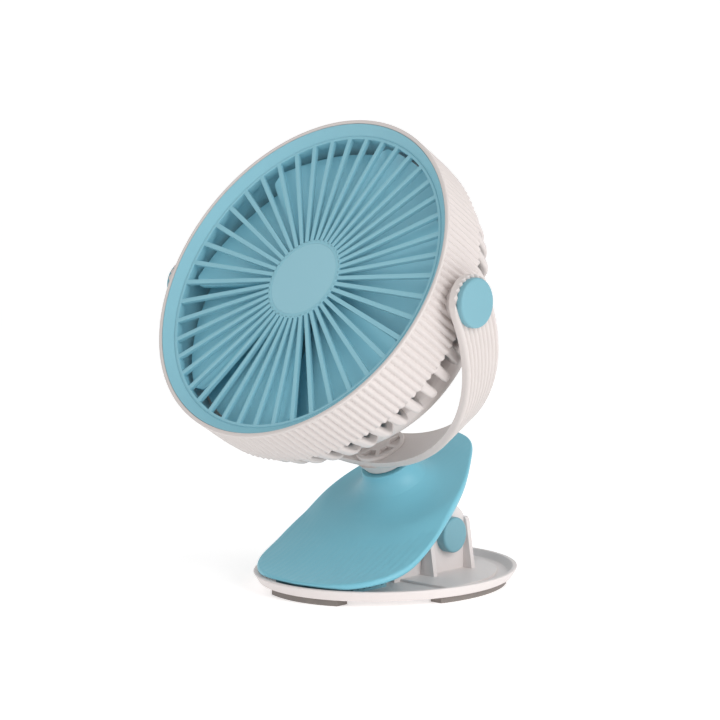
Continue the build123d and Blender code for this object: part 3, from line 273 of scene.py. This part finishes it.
def slab(bm, outline, axis, start, thickness, bevel=0.3, steps=2):
    """A flat shape with softened edges: its outline lies across an axis, from a start upwards."""
    along = "XYZ".index(axis)
    bottom = []
    for spot in outline:
        bottom.append(bm.verts.new((*spot[:along], start, *spot[along:])))
    grown = bmesh.ops.extrude_face_region(bm, geom=[bm.faces.new(bottom)])["geom"]
    top = [part for part in grown if isinstance(part, bmesh.types.BMVert)]
    bmesh.ops.translate(bm, vec=[thickness * (way == along) for way in range(3)], verts=top)
    corners = top + bottom
    bm.normal_update()
    skin = dict.fromkeys(face for corner in corners for face in corner.link_faces)
    bmesh.ops.recalc_face_normals(bm, faces=list(skin))
    rims = dict.fromkeys(edge for corner in corners for edge in corner.link_edges)
    sharp = [e for e in rims if e.is_manifold and e.calc_face_angle(0) > math.radians(30)]
    bmesh.ops.bevel(
        bm,
        geom=sharp,
        offset=bevel,
        offset_type="OFFSET",
        segments=steps,
        profile=0.5,
        affect="EDGES",
        material=-1,
    )


def finished(name, bm, place, body, nodes, material, sharp=35.0):
    """Puts a modelled piece in its place on the fan and gives it its finish."""
    bmesh.ops.transform(bm, matrix=place, verts=bm.verts)
    piece = shown(name, bm, material, sharp)
    shading = piece.modifiers.new("even shading", "WEIGHTED_NORMAL")
    shading.keep_sharp = True
    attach(piece, body)
    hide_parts(*nodes)


# The dish's white is the fan's one white plastic; the drum, yoke, fins and cover get a darker copy
# of it as painted shade.
dish_plastic = moulded_plastic("white dish plastic", "e1dad8", "dad2d0", 0.42)
on_table = Matrix.Scale(0.001, 4)
dish_width = 58.5
dish_length = 65.5
floor_height = 4.0
dish_cut = [
    (0, 2.9, 0),
    (55.7, 2.9, 1.6),
    (dish_width, 7.7, 0.7),
    (56.1, 7.7, 0.6),
    (54.2, 4.6, 0.8),
    (0, 4.6, 0),
]
hinge_at = Vector((18.0, 23.0))
upright_inside = 19.0
upright_thickness = 3.3
crown_radius = 14.0
gusset_thickness = 2.6
buttress_inside = 16.4
terrace_width = 48.7
terrace_length = 55.7
terrace_inside = 16.0
terrace_front = -12.0
terrace_start = math.asin(terrace_front / terrace_length)
terrace_end = math.radians(70.8)
terrace_steps = 32
terrace_thickness = 1.8
bm = bmesh.new()
turned(bm, rounded(dish_cut), 256)
bmesh.ops.scale(bm, vec=(1, dish_length / dish_width, 1), verts=bm.verts)
for side in (-1, 1):
    crown = arc(hinge_at, crown_radius, 0, 180, 6)
    upright = [(32.0, floor_height), *crown, (2.0, floor_height)]
    slab(bm, upright, "X", side * upright_inside, side * upright_thickness, 0.35)
    for gusset_at in (2.0, 29.4):
        foot = [(21.0, floor_height), (27.7, floor_height)]
        wing = foot + [(23.9, 28.4), (22.9, 29.8), (21.0, 29.8)]
        slab(bm, [(side * x, z) for x, z in wing], "Y", gusset_at, gusset_thickness)
    buttress = [(6.0, floor_height), (6.0, 22.0), (2.0, 20.0), (-16.0, 5.6), (-16.0, floor_height)]
    slab(bm, buttress, "X", side * buttress_inside, side * gusset_thickness)
    terrace = [(side * terrace_inside, terrace_front)]
    for step in range(terrace_steps + 1):
        turn = terrace_start + (terrace_end - terrace_start) * step / terrace_steps
        terrace.append((side * terrace_width * math.cos(turn), terrace_length * math.sin(turn)))
    slab(bm, terrace, "Z", floor_height, terrace_thickness, 0.5)
finished("dish", bm, on_table, "base", ["base_plate"], dish_plastic)

# ------------------------------------------------------------------ feet and grip pads
# Four feet of soft grey rubber let into the underside of the dish, and the two ribbed pads of
# blue rubber that hold on to a shelf.
def keeps_shape(node, material):
    """Gives a piece that is right as it is its finish."""
    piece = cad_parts[node]
    if not piece.material_slots:
        piece.data.materials.append(material)
    for holder in piece.material_slots:
        holder.material = material


def rubber(name, dark, light, roughness):
    """Matt rubber with a slight bloom and a fine moulded grain."""
    finish = Finish(name)
    return finish.set(
        Base_Color=finish.between(finish.noise(60.0), paint(dark), paint(light)),
        Roughness=roughness + 0.12 * finish.noise(220.0),
        Normal=finish.grain(3200.0, 0.00005),
    )


keeps_shape("base_feet", rubber("grey rubber", "7d7672", "89827d", 0.72))
grip_rubber = rubber("blue grip rubber", "78a8b5", "82b2bf", 0.7)
keeps_shape("base_grip_pad", grip_rubber)
keeps_shape("jaw_grip_pad", grip_rubber)

# ------------------------------------------------------------------ hinge
# A steel pin through both uprights, washers beside the ears of the jaw, and a round blue cap
# pressed on each end of the pin.
steel_finish = Finish("plated steel")
steel = steel_finish.set(
    Base_Color=steel_finish.between(
        steel_finish.noise(90.0), (0.42, 0.42, 0.43), (0.55, 0.55, 0.56)
    ),
    Metallic=1.0,
    Roughness=0.26 + 0.14 * steel_finish.noise(400.0),
    Normal=steel_finish.grain(1800.0, 0.00001),
)
nylon = moulded_plastic("nylon", "e6e4de", "dcd9d2", 0.5)
blue_plastic = moulded_plastic("blue plastic", "77a8b5", "70a1ae", 0.4)


def pair_across(bm, cut, steps, y, z):
    """A turned piece on an axis across the fan, and its mirror image on the other side."""
    turned(bm, cut, steps, Matrix.Translation((0, y, z)) @ Matrix.Rotation(math.pi / 2, 4, "Y"))
    everything = bm.verts[:] + bm.edges[:] + bm.faces[:]
    bmesh.ops.mirror(bm, geom=everything, axis="X", merge_dist=0.0001)


keeps_shape("hinge_pin", steel)
keeps_shape("hinge_washers", nylon)
cap_radius = 8.3
cap_from = upright_inside + upright_thickness
cap_to = cap_from + 4.8
cap_cut = [
    (0, cap_from, 0),
    (cap_radius, cap_from, 0.2),
    (cap_radius, cap_to, 1.3),
    (0, cap_to, 0),
]
bm = bmesh.new()
pair_across(bm, rounded(cap_cut), 96, *hinge_at)
finished("pin_caps", bm, on_table, "base", ["hinge_caps"], blue_plastic)

# ------------------------------------------------------------------ clamp spring
# Steel torsion spring wound round the pin. Its lower leg presses on the floor of the dish and
# its upper leg lifts the lever of the jaw, so it winds up when the clip is opened.
wire_radius = 0.8
coil_radius = 6.0
coil_pitch = 2.4
whole_turns = 7
knots_each_turn = 24
lower_tip = Vector((45.0, 5.7))
upper_tip = Vector((40.0, 57.8))


def leaves_coil(tip, side):
    """Angle at which the straight leg to a tip leaves the coil."""
    away = tip - hinge_at
    return math.atan2(away.y, away.x) + side * math.acos(coil_radius / away.length)


winding_start = leaves_coil(lower_tip, -1)
last_part = (winding_start - leaves_coil(upper_tip, 1)) % (2 * math.pi)
winding = 2 * math.pi * whole_turns + last_part
turns = winding / (2 * math.pi)
half_coil = turns * coil_pitch / 2
knots = round(turns * knots_each_turn)
route = [(-half_coil, *lower_tip)]
for knot in range(knots + 1):
    angle = winding_start - winding * knot / knots
    y = hinge_at.x + coil_radius * math.cos(angle)
    z = hinge_at.y + coil_radius * math.sin(angle)
    route.append((half_coil * (2 * knot / knots - 1), y, z))
route.append((half_coil, *upper_tip))
wire = bpy.data.curves.new("spring wire", "CURVE")
wire.dimensions = "3D"
wire.bevel_depth = wire_radius * 0.001
wire.bevel_resolution = 4
wire.use_fill_caps = True
line = wire.splines.new("POLY")
line.points.add(len(route) - 1)
for point, spot in zip(line.points, route):
    point.co = (*(part * 0.001 for part in spot), 1.0)
wound = bpy.data.objects.new("wound wire", wire)
bpy.context.scene.collection.objects.link(wound)
bpy.context.view_layer.update()
as_wound = wound.evaluated_get(bpy.context.evaluated_depsgraph_get())
bm = bmesh.new()
bm.from_mesh(bpy.data.meshes.new_from_object(as_wound))
bpy.data.objects.remove(wound)
bmesh.ops.remove_doubles(bm, verts=bm.verts, dist=0.00001)
spring = shown("torsion_spring", bm, steel, 50.0)
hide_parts("clamp_spring")
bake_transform(spring)

# ------------------------------------------------------------------ upper jaw
# Blue shield that closes on the front of the dish; its rear end is the lever. The pedestal of
# the yoke grows out of it, and two ears hang from it to the pin. Fine grooves run along it.
jaw_plastic = moulded_plastic("blue jaw plastic", "7abdcf", "72b7c9", 0.42)
slope = math.radians(28.5)
swivel_foot = Vector((0, 0, 56.7))
swivel_to_pivot = 91.4
swivel_way = Vector((0, -math.sin(slope), math.cos(slope)))
pivot = swivel_foot + swivel_to_pivot * swivel_way
swivel_frame = Matrix.Translation(pivot) @ Matrix.Rotation(slope, 4, "X")
jaw_thickness = 2.8
edge_radius = 1.3
edge_drop = 3.4
edge_drop_at = 42.0
flat_to = -54.0
bowed_from = -26.0
groove_pitch = 3.4
groove_depth = 0.16
mouth_height = 8.0
foot_blend = 2.5
foot_start = 13.0
foot_hidden = 16.5
ear_radius = 8.0
ear_inside = 15.0
ear_thickness = 3.0
jaw_crest = [(-66.0, 8.7), (-48.0, 13.2), (-28.0, 23.4), (0.0, 40.3), (28.0, 56.1), (53.0, 67.7)]
jaw_side = [
    (0.0, -62.3),
    (19.5, -59.3),
    (31.2, -53.4),
    (39.0, -43.6),
    (42.6, -27.0),
    (40.6, -6.0),
    (35.0, 14.0),
    (24.5, 32.5),
    (12.5, 46.0),
    (0.0, 50.5),
]


def smooth_line(points, count):
    """Evenly spaced points along a natural cubic curve through the given ones."""
    knots = [complex(*point) for point in points]
    gaps = [abs(b - a) for a, b in zip(knots, knots[1:])]
    rises = [(b - a) / gap for a, b, gap in zip(knots, knots[1:], gaps)]
    last = len(gaps)
    # The curve's direction at each knot makes its bend even there: one row per knot.
    lower = [0.0, *gaps[1:], 1.0]
    middle = [2.0, *(2 * (gaps[i - 1] + gaps[i]) for i in range(1, last)), 2.0]
    upper = [1.0, *gaps[:-1], 0.0]
    inner = [gaps[i] * rises[i - 1] + gaps[i - 1] * rises[i] for i in range(1, last)]
    wanted = [3 * part for part in (rises[0], *inner, rises[-1])]
    for i in range(1, last + 1):
        share = lower[i] / middle[i - 1]
        middle[i] -= share * upper[i - 1]
        wanted[i] -= share * wanted[i - 1]
    ways = [wanted[-1] / middle[-1]]
    for i in range(last - 1, -1, -1):
        ways.insert(0, (wanted[i] - upper[i] * ways[0]) / middle[i])
    line = []
    for number in range(count + 1):
        at = sum(gaps) * number / count
        i = max(k for k in range(last) if sum(gaps[:k]) <= at + 1e-9)
        t = (at - sum(gaps[:i])) / gaps[i]
        spot = (
            (2 * t**3 - 3 * t**2 + 1) * knots[i]
            + (t**3 - 2 * t**2 + t) * gaps[i] * ways[i]
            + (3 * t**2 - 2 * t**3) * knots[i + 1]
            + (t**3 - t**2) * gaps[i] * ways[i + 1]
        )
        line.append((spot.real, spot.imag))
    return line


def height_on(line, place):
    """Height of a line of (place, height) points, level beyond its ends."""
    for (a, low), (b, high) in zip(line, line[1:]):
        if a <= place <= b:
            return low + (high - low) * (place - a) / (b - a)
    return line[0][1] if place < line[0][0] else line[-1][1]


crest = smooth_line(jaw_crest, 200)


def under_crest(depth):
    """The line of a layer under the shield's upper face, from the mouth to the lever."""
    return [(y + depth * math.sin(slope), z - depth * math.cos(slope)) for y, z in crest]


foot_rim = 34.0
foot_line = bowed(Vector((12.4, -92.9)), Vector((13.6, -105.4)), Vector((foot_rim, -106.0)), 48)


def foot_at(radius):
    """Height of the foot of the pedestal at a distance from the swivel's axis."""
    past = max(0.0, radius - foot_rim)
    return height_on(foot_line, radius) - 0.03 * past - 0.03 * past**2


# The shield starts as a flat plate with a soft edge, cut finely near the pedestal and across
# the grooves. Then it is laid along the crest line, with its sides bent down behind the mouth,
# and drawn up into the foot of the pedestal. Inside the foot it stays under the turned neck.
bm = bmesh.new()
right_side = smooth_line(jaw_side, 90)
left_side = [(-x, y) for x, y in reversed(right_side[1:-1])]
bm.faces.new([bm.verts.new((x, y, 0)) for x, y in right_side + left_side])
skin = bmesh.ops.extrude_face_region(bm, geom=bm.faces[:])["geom"]
underside = [part for part in skin if isinstance(part, bmesh.types.BMVert)]
bmesh.ops.translate(bm, vec=(0, 0, -jaw_thickness), verts=underside)
bmesh.ops.recalc_face_normals(bm, faces=bm.faces)
rim = [edge for edge in bm.edges if abs(edge.verts[0].co.z - edge.verts[1].co.z) < 0.1]
bmesh.ops.bevel(
    bm,
    geom=rim,
    offset=edge_radius,
    offset_type="OFFSET",
    segments=4,
    profile=0.5,
    affect="EDGES",
    material=-1,
)
cuts_along = [(0, y, 0) for y in (*range(-60, -15, 3), *range(-14, 26), *range(27, 50, 3))]
cuts_across = [(groove_pitch / 4 * number, 0, 0) for number in range(-48, 49)]
for way, cuts in (((0, 1, 0), cuts_along), ((1, 0, 0), cuts_across)):
    for cut in cuts:
        everything = bm.verts[:] + bm.edges[:] + bm.faces[:]
        bmesh.ops.bisect_plane(bm, geom=everything, dist=0.00001, plane_co=cut, plane_no=way)
top_line, bottom_line = under_crest(0.0), under_crest(jaw_thickness)
to_swivel = swivel_frame.inverted()
for corner in bm.verts:
    depth = -corner.co.z / jaw_thickness
    top = max(height_on(top_line, corner.co.y), mouth_height)
    bottom = max(height_on(bottom_line, corner.co.y), mouth_height)
    corner.co.z = top + depth * (bottom - top)
    if depth < 0.001:
        corner.co.z -= groove_depth * math.cos(math.pi * corner.co.x / groove_pitch) ** 4
    behind_mouth = min(1.0, max(0.0, (corner.co.y - flat_to) / (bowed_from - flat_to)))
    ease = behind_mouth**2 * (3 - 2 * behind_mouth)
    corner.co.z -= edge_drop * (corner.co.x / edge_drop_at) ** 2 * ease
    away = to_swivel @ corner.co
    radius = math.hypot(away.x, away.y)
    wanted = foot_at(max(radius, foot_start)) - 0.3 * max(0.0, foot_hidden - radius)
    near = max(0.0, 1.0 - abs(wanted - away.z) / foot_blend)
    lift = max(wanted - away.z, 0.0) + near**2 * foot_blend / 4
    corner.co += swivel_way * (1.0 - depth) * lift
ear_line = under_crest(1.5)
for side in (-1, 1):
    ear = arc(hinge_at, ear_radius, 180, 360, 10)
    ear += [(y, height_on(ear_line, y)) for y in (36.0, 18.0, 0.0)]
    slab(bm, ear, "X", side * ear_inside, side * ear_thickness)
pedestal_cut = [
    (0, -91.9, 0),
    (12.4, -91.9, 0.9),
    *((radius, height, 0) for radius, height in foot_line[1:] if radius < 16.0),
    (17.6, foot_at(17.6) - 0.5, 0),
    (17.6, -104.5, 0),
    (11.5, -104.5, 0),
    (11.5, -95.4, 0),
    (0, -95.4, 0),
]
turned(bm, rounded(pedestal_cut), 160, swivel_frame)
finished("shield", bm, on_table, "upper_jaw", ["jaw_shell"], jaw_plastic, 40.0)
keeps_shape("neck_bush", nylon)

# ------------------------------------------------------------------ yoke
# White half ring, fluted outside, that holds the head at its ends. Its boss turns on the
# pedestal; the round seat inside it has six pockets round the screw.
# A darker copy of the dish's white plastic for the drum, yoke, fins and cover: painted shade that
# holds back the light the white sweep throws up on them.
shaded_white_plastic = moulded_plastic("white plastic with painted shade", "d4ccc9", "cdc5c2", 0.42)
ring_inside = 83.3
ring_outside = 86.7
ring_half_width = 12.1
flutes = 9
flute_depth = 1.1
flute_steps = flutes * 6
edge_softening = 0.5


def ring_of(bm, count, first_turn, make):
    """Repeats what a function adds to a mesh evenly round the Z axis."""
    for number in range(count):
        before = set(bm.verts)
        make()
        turn = Matrix.Rotation(math.radians(first_turn + 360 * number / count), 3, "Z")
        fresh = [corner for corner in bm.verts if corner not in before]
        bmesh.ops.rotate(bm, matrix=turn, verts=fresh)


bm = bmesh.new()
outer_line, inner_line = [], []
for step in range(flute_steps + 1):
    y = ring_half_width * (2 * step / flute_steps - 1)
    valley = 1 - abs(math.sin(math.pi * flutes * step / flute_steps))
    near_edge = max(0.0, edge_softening - (ring_half_width - abs(y)))
    outside = ring_outside - flute_depth * valley - 0.6 * near_edge
    outer_line.append(bm.verts.new((outside, y, 0)))
    inner_line.append(bm.verts.new((ring_inside, y, 0)))
ring_edges = [bm.edges.new(pair) for pair in zip(outer_line, outer_line[1:])]
ring_edges += [bm.edges.new(pair) for pair in zip(inner_line, inner_line[1:])]
ring_edges += [bm.edges.new((outer_line[end], inner_line[end])) for end in (0, -1)]
ring_cut = outer_line + inner_line + ring_edges
swept = bmesh.ops.spin(bm, geom=ring_cut, axis=(0, 1, 0), angle=math.pi, steps=120)["geom_last"]
far_edges = [part for part in swept if isinstance(part, bmesh.types.BMEdge)]
# Each end of the half ring is drawn out into a round tab that goes under a knob.
for end_edges in (ring_edges, far_edges):
    grown = bmesh.ops.extrude_edge_only(bm, edges=end_edges)["geom"]
    for part in grown:
        if isinstance(part, bmesh.types.BMVert):
            part.co.z = math.sqrt(max(0.0, ring_half_width**2 - part.co.y**2))
    round_edges = [part for part in grown if isinstance(part, bmesh.types.BMEdge)]
    long_edges = [e for e in round_edges if abs(e.verts[0].co.y - e.verts[1].co.y) > 1e-4]
    bmesh.ops.bridge_loops(bm, edges=long_edges)
bmesh.ops.remove_doubles(bm, verts=bm.verts, dist=0.0001)
screw_seat_cut = [(0, -81.5, 0), (5.0, -81.5, 0.2), (5.0, -84.9, 0), (0, -84.9, 0)]
boss_cut = [
    (9.8, -88.0, 0),
    (9.8, -81.5, 0.3),
    (11.9, -81.5, 0.8),
    (12.1, -84.0, 0),
    (12.1, -85.7, 0.3),
    (13.0, -86.0, 0),
    (10.2, -91.2, 0.6),
    (6.0, -91.4, 0),
    (6.0, -88.0, 0),
]
spigot_cut = [(0, -90.9), (6.0, -90.9), (6.0, -95.6), (0, -95.6)]
turned(bm, rounded(screw_seat_cut), 96)
turned(bm, rounded(boss_cut), 144)
turned(bm, spigot_cut, 64)
web = [(4.5, -1.0), (10.4, -1.0), (10.4, 1.0), (4.5, 1.0)]
web_count = 6
web_height = 6.4
pocket_floor = -88.0
ring_of(bm, web_count, 0.0, lambda: slab(bm, web, "Z", pocket_floor, web_height, 0.2))
on_swivel = on_table @ swivel_frame
finished("fluted_yoke", bm, on_swivel, "yoke", ["yoke"], shaded_white_plastic, 42.0)
for node in ("swivel_washer", "swivel_screw", "pivot_screws"):
    keeps_shape(node, steel)
keeps_shape("pivot_washers", nylon)

# ------------------------------------------------------------------ knobs
# Blue discs with a soft rim, turned like the pin caps, that clip over the heads of the two
# pivot screws.
knob_radius = 10.7
knob_from = 86.2
knob_to = knob_from + 3.0
knob_cut = [
    (0, knob_from, 0),
    (knob_radius, knob_from, 0.15),
    (knob_radius, knob_to, 1.1),
    (0, knob_to, 0),
]
bm = bmesh.new()
pair_across(bm, rounded(knob_cut), 120, pivot.y, pivot.z)
finished("tilt_knobs", bm, on_table, "yoke", ["pivot_knobs"], blue_plastic)

# ------------------------------------------------------------------ casing
# White drum round the impeller, moulded with fine rounded ribs from its smooth front lip to
# its back. A round boss on each side takes the pivot screw.
head_lean = math.radians(59.3)
on_head = on_table @ Matrix.Translation(pivot) @ Matrix.Rotation(head_lean, 4, "X")
rim_ahead = 17.9
drum_ribs = 146
faces_per_rib = 6
rib_depth = 1.0
ribbed_skin = 77.6
smooth_lip = 1.4
screw_boss_radius = 8.0
screw_boss_from = 76.5
screw_boss_length = 6.1
drum_cut = [
    (77.1, 0.15, 0),
    (78.0, 0.0, 0.25),
    (78.8, 0.1, 0.35),
    (78.8, 1.2, 0),
    (78.8, 1.6, 0),
    (78.8, 10.0, 0),
    (78.8, 19.0, 0),
    (78.3, 26.2, 0),
    (77.9, 26.5, 0),
    (75.2, 26.5, 0),
    (75.2, 10.2, 0),
    (76.4, 10.1, 0),
    (76.4, 2.2, 0),
    (77.1, 2.0, 0),
]


def behind_rim(points):
    """Heights on the head's axis for points given by their depth behind the front rim."""
    return [(radius, rim_ahead - depth) for radius, depth in points]


bm = bmesh.new()
turned(bm, behind_rim(rounded(drum_cut, 3)), drum_ribs * faces_per_rib)
for corner in bm.verts:
    radius = math.hypot(corner.co.x, corner.co.y)
    if corner.co.z < rim_ahead - smooth_lip and radius > ribbed_skin:
        turn = math.atan2(corner.co.y, corner.co.x) * drum_ribs / 2
        narrower = 1 - rib_depth * (1 - abs(math.cos(turn)) ** 1.2) / radius
        corner.co.x *= narrower
        corner.co.y *= narrower
for side in (-1, 1):
    boss = bmesh.ops.create_circle(
        bm, cap_ends=True, segments=64, radius=screw_boss_radius
    )["verts"]
    bmesh.ops.rotate(bm, matrix=Matrix.Rotation(math.pi / 2, 3, "Y"), verts=boss)
    bmesh.ops.translate(bm, vec=(side * screw_boss_from, 0, 0), verts=boss)
    flat_end = list(boss[0].link_faces)
    grown = bmesh.ops.extrude_face_region(bm, geom=flat_end)["geom"]
    boss_end = [part for part in grown if isinstance(part, bmesh.types.BMVert)]
    bmesh.ops.translate(bm, vec=(side * screw_boss_length, 0, 0), verts=boss_end)
finished("ribbed_drum", bm, on_head, "head", ["casing"], shaded_white_plastic, 50.0)

# ------------------------------------------------------------------ front grille
# One blue moulding: a sloping bezel, forty-four straight spokes and a round hub, with a sleeve
# that snaps into the drum. A bare disc is let into the hub.
grille_plastic = moulded_plastic("grille plastic", "8bc0ce", "82b8c7", 0.38)
bezel_cut = [
    (77.0, 0.0, 0.3),
    (72.7, 4.2, 0.2),
    (72.4, 3.8, 0.15),
    (71.2, 3.8, 0.3),
    (71.2, 7.6, 0.2),
    (73.0, 8.4, 0.2),
    (73.0, 22.2, 0.2),
    (75.1, 22.2, 0.2),
    (75.1, 1.9, 0),
    (77.0, 1.9, 0.1),
]
hub_cut = [
    (0, 6.9, 0),
    (19.5, 6.9, 0.3),
    (19.5, 3.9, 0.35),
    (17.6, 3.9, 0.08),
    (17.6, 5.6, 0),
    (0, 5.6, 0),
]
spoke = [(18.5, -0.95), (72.0, -1.15), (72.0, 1.15), (18.5, 0.95)]
spoke_count = 44
spoke_turn = 4.09
spoke_back = rim_ahead - 5.9
spoke_thickness = 2.0
bm = bmesh.new()
turned(bm, behind_rim(rounded(bezel_cut, 4)), 256)
turned(bm, behind_rim(rounded(hub_cut, 4)), 128)
ring_of(
    bm, spoke_count, spoke_turn, lambda: slab(bm, spoke, "Z", spoke_back, spoke_thickness, 0.28)
)
finished(
    "spoked_grille", bm, on_head, "head", ["front_grille"], grille_plastic
)
hub_plastic = moulded_plastic("hub plastic", "93c4d1", "8cbecc", 0.34)
disc_cut = [(0, 5.5, 0), (17.56, 5.5, 0.1), (17.56, 3.92, 0.08), (0, 3.92, 0)]
bm = bmesh.new()
turned(bm, behind_rim(rounded(disc_cut, 5)), 160)
finished("hub_plate", bm, on_head, "head", ["hub_disc"], hub_plastic)

# ------------------------------------------------------------------ impeller
# Seven wide blue blades, bowed and pitched, on a hollow hub pressed on the motor's steel shaft
# and held by a brass nut.
# The blades' blue is a lighter copy of the grille's blue: painted light that makes up for the
# shade they sit in behind the spokes.
brightened_impeller_plastic = moulded_plastic("impeller plastic painted lighter", "98d6e6", "90cfdf", 0.36)
rotor_cut = [
    (1.7, 10.0, 0.2),
    (14.0, 10.0, 2.4),
    (14.0, 27.0, 0.3),
    (12.0, 27.0, 0.3),
    (12.0, 12.5, 1.0),
    (4.0, 12.5, 0.4),
    (4.0, 24.0, 0.3),
    (1.7, 24.0, 0.2),
]
blade_count = 7
blade_turn = -2.5
blade_half_span = math.radians(32.5)
blade_root = 13.4
blade_length = 57.0
blade_thickness = 1.5
tip_rounding = 6.0
blade_middle = 4.2
blade_pitch = 5.2
blade_bow = 1.6


def add_blade():
    """One blade, bent from a flat square whose X runs out along it and Y across it."""
    blade = bmesh.ops.create_grid(bm, x_segments=20, y_segments=20, size=1.0)["verts"]
    for corner in blade:
        out, across = (corner.co.x + 1) / 2, corner.co.y
        radius = blade_root + blade_length * out
        half_span = blade_half_span * (0.9 + 0.1 * min(1.0, 2.5 * out))
        past_straight = max(0.0, (radius - blade_root - blade_length) / tip_rounding + 1)
        half_span *= 1 - 0.13 * (1 - math.sqrt(max(0.0, 1 - past_straight**2)))
        turn = across * half_span
        height = blade_middle + blade_pitch * across
        height -= blade_bow * (1 - across**2) * (0.4 + 0.6 * out)
        corner.co = (radius * math.cos(turn), radius * math.sin(turn), height)
    skin = dict.fromkeys(face for corner in blade for face in corner.link_faces)
    bmesh.ops.solidify(bm, geom=list(skin), thickness=blade_thickness)


bm = bmesh.new()
turned(bm, behind_rim(rounded(rotor_cut, 4)), 96)
ring_of(bm, blade_count, blade_turn, add_blade)
finished(
    "bladed_rotor",
    bm,
    on_head,
    "impeller",
    ["impeller"],
    brightened_impeller_plastic,
    50.0,
)
brass_finish = Finish("brass")
brass = brass_finish.set(
    Base_Color=brass_finish.between(
        brass_finish.noise(120.0), (0.66, 0.47, 0.17), (0.76, 0.57, 0.24)
    ),
    Metallic=1.0,
    Roughness=0.3 + 0.1 * brass_finish.noise(300.0),
)
keeps_shape("impeller_nut", brass)
keeps_shape("motor_bush", brass)
for node in ("motor_shaft", "motor_can", "motor_screws", "casing_screws"):
    keeps_shape(node, steel)

# ------------------------------------------------------------------ back of the head
# White ring of thick rounded fins with the air inlets between them, joined to the back plate.
# The plate has a blue face towards the blades, and saddles for the cell on its other side.
# A thin blue disc laid on the front of the back plate, so the interior behind the blades reads
# blue.
blue_disc_cut = [(12.1, 36.2, 0.3), (62.4, 36.2, 0.3), (62.4, 37.0, 0), (12.1, 37.0, 0)]
bm = bmesh.new()
turned(bm, behind_rim(rounded(blue_disc_cut, 3)))
finished("blue_plate_face", bm, on_head, "head", [], blue_plastic)
ring_cut = [(72.4, 22.5, 0.3), (75.1, 22.5, 0.3), (75.1, 28.5, 0.3), (72.4, 28.5, 0.3)]
plate_cut = [(12.1, 37.0, 0.3), (61.8, 37.0, 0.3), (61.8, 39.5, 0.3), (12.1, 39.5, 0.3)]
fin_count = 50
fin_turn = 0.65
fin_inside = 62.0
fin_outside = 77.4
fin_thickness = 5.2
fin_inner_share = 0.42
fin_foot_thickness = 2.0
fin_cut = [
    (fin_outside, 26.6, 0),
    (73.2, 42.3, 30.0),
    (fin_inside, 48.0, 0),
    (fin_inside, 38.5, 0),
    (70.5, 37.5, 12.0),
    (73.4, 26.6, 0),
]
fin_foot = [(60.6, 37.1), (64.5, 36.6), (64.5, 39.4), (60.6, 39.4)]


def add_fin():
    """One fin, thick at the drum and thin where its foot joins the plate."""
    before = set(bm.verts)
    slab(bm, behind_rim(rounded(fin_cut, 9)), "Y", -fin_thickness / 2, fin_thickness, 1.7, 3)
    for corner in bm.verts:
        if corner not in before:
            out = (corner.co.x - fin_inside) / (fin_outside - fin_inside)
            corner.co.y *= fin_inner_share + (1 - fin_inner_share) * out
    slab(bm, behind_rim(fin_foot), "Y", -fin_foot_thickness / 2, fin_foot_thickness, 0.2)


bm = bmesh.new()
turned(bm, behind_rim(rounded(ring_cut, 3)))
turned(bm, behind_rim(rounded(plate_cut, 3)))
ring_of(bm, fin_count, fin_turn, add_fin)
saddle_back = rim_ahead - 44.5
saddle_depth = 5.2
for side in (-1, 1):
    saddle = [(side * x, y) for x, y in ((19.0, 25.0), (21.0, 25.0), (21.0, 29.0), (19.0, 29.0))]
    slab(bm, saddle, "Z", saddle_back, saddle_depth, 0.2)
finished("finned_cage", bm, on_head, "head", ["rear_grille"], shaded_white_plastic)

# ------------------------------------------------------------------ cover and electronics
# A smooth white cover closes the back over the cell in its blue wrap and the green board, which
# carries the charging socket and the lamp behind its clear window. The button is in the cover.
keeps_shape("rear_dome", shaded_white_plastic)
keeps_shape("power_button", blue_plastic)
keeps_shape("usb_socket", steel)


def smooth_coat(name, first, second, patches, roughness, spread, spots):
    """A thin glossy skin over something else: film, lacquer or polished window."""
    finish = Finish(name)
    return finish.set(
        Base_Color=finish.between(finish.noise(patches), first, second),
        Roughness=roughness + spread * finish.noise(spots),
    )


film = smooth_coat("cell wrap", paint("2a5a9a"), paint("2f62a6"), 40.0, 0.25, 0.1, 200.0)
lacquer = smooth_coat("circuit board", paint("1d5a38"), paint("246944"), 300.0, 0.35, 0.15, 500.0)
window = smooth_coat(
    "lamp window", (0.85, 0.9, 0.92), (0.92, 0.95, 0.96), 200.0, 0.12, 0.05, 300.0
)
keeps_shape("battery_cell", film)
keeps_shape("control_board", lacquer)
keeps_shape("status_lens", window)
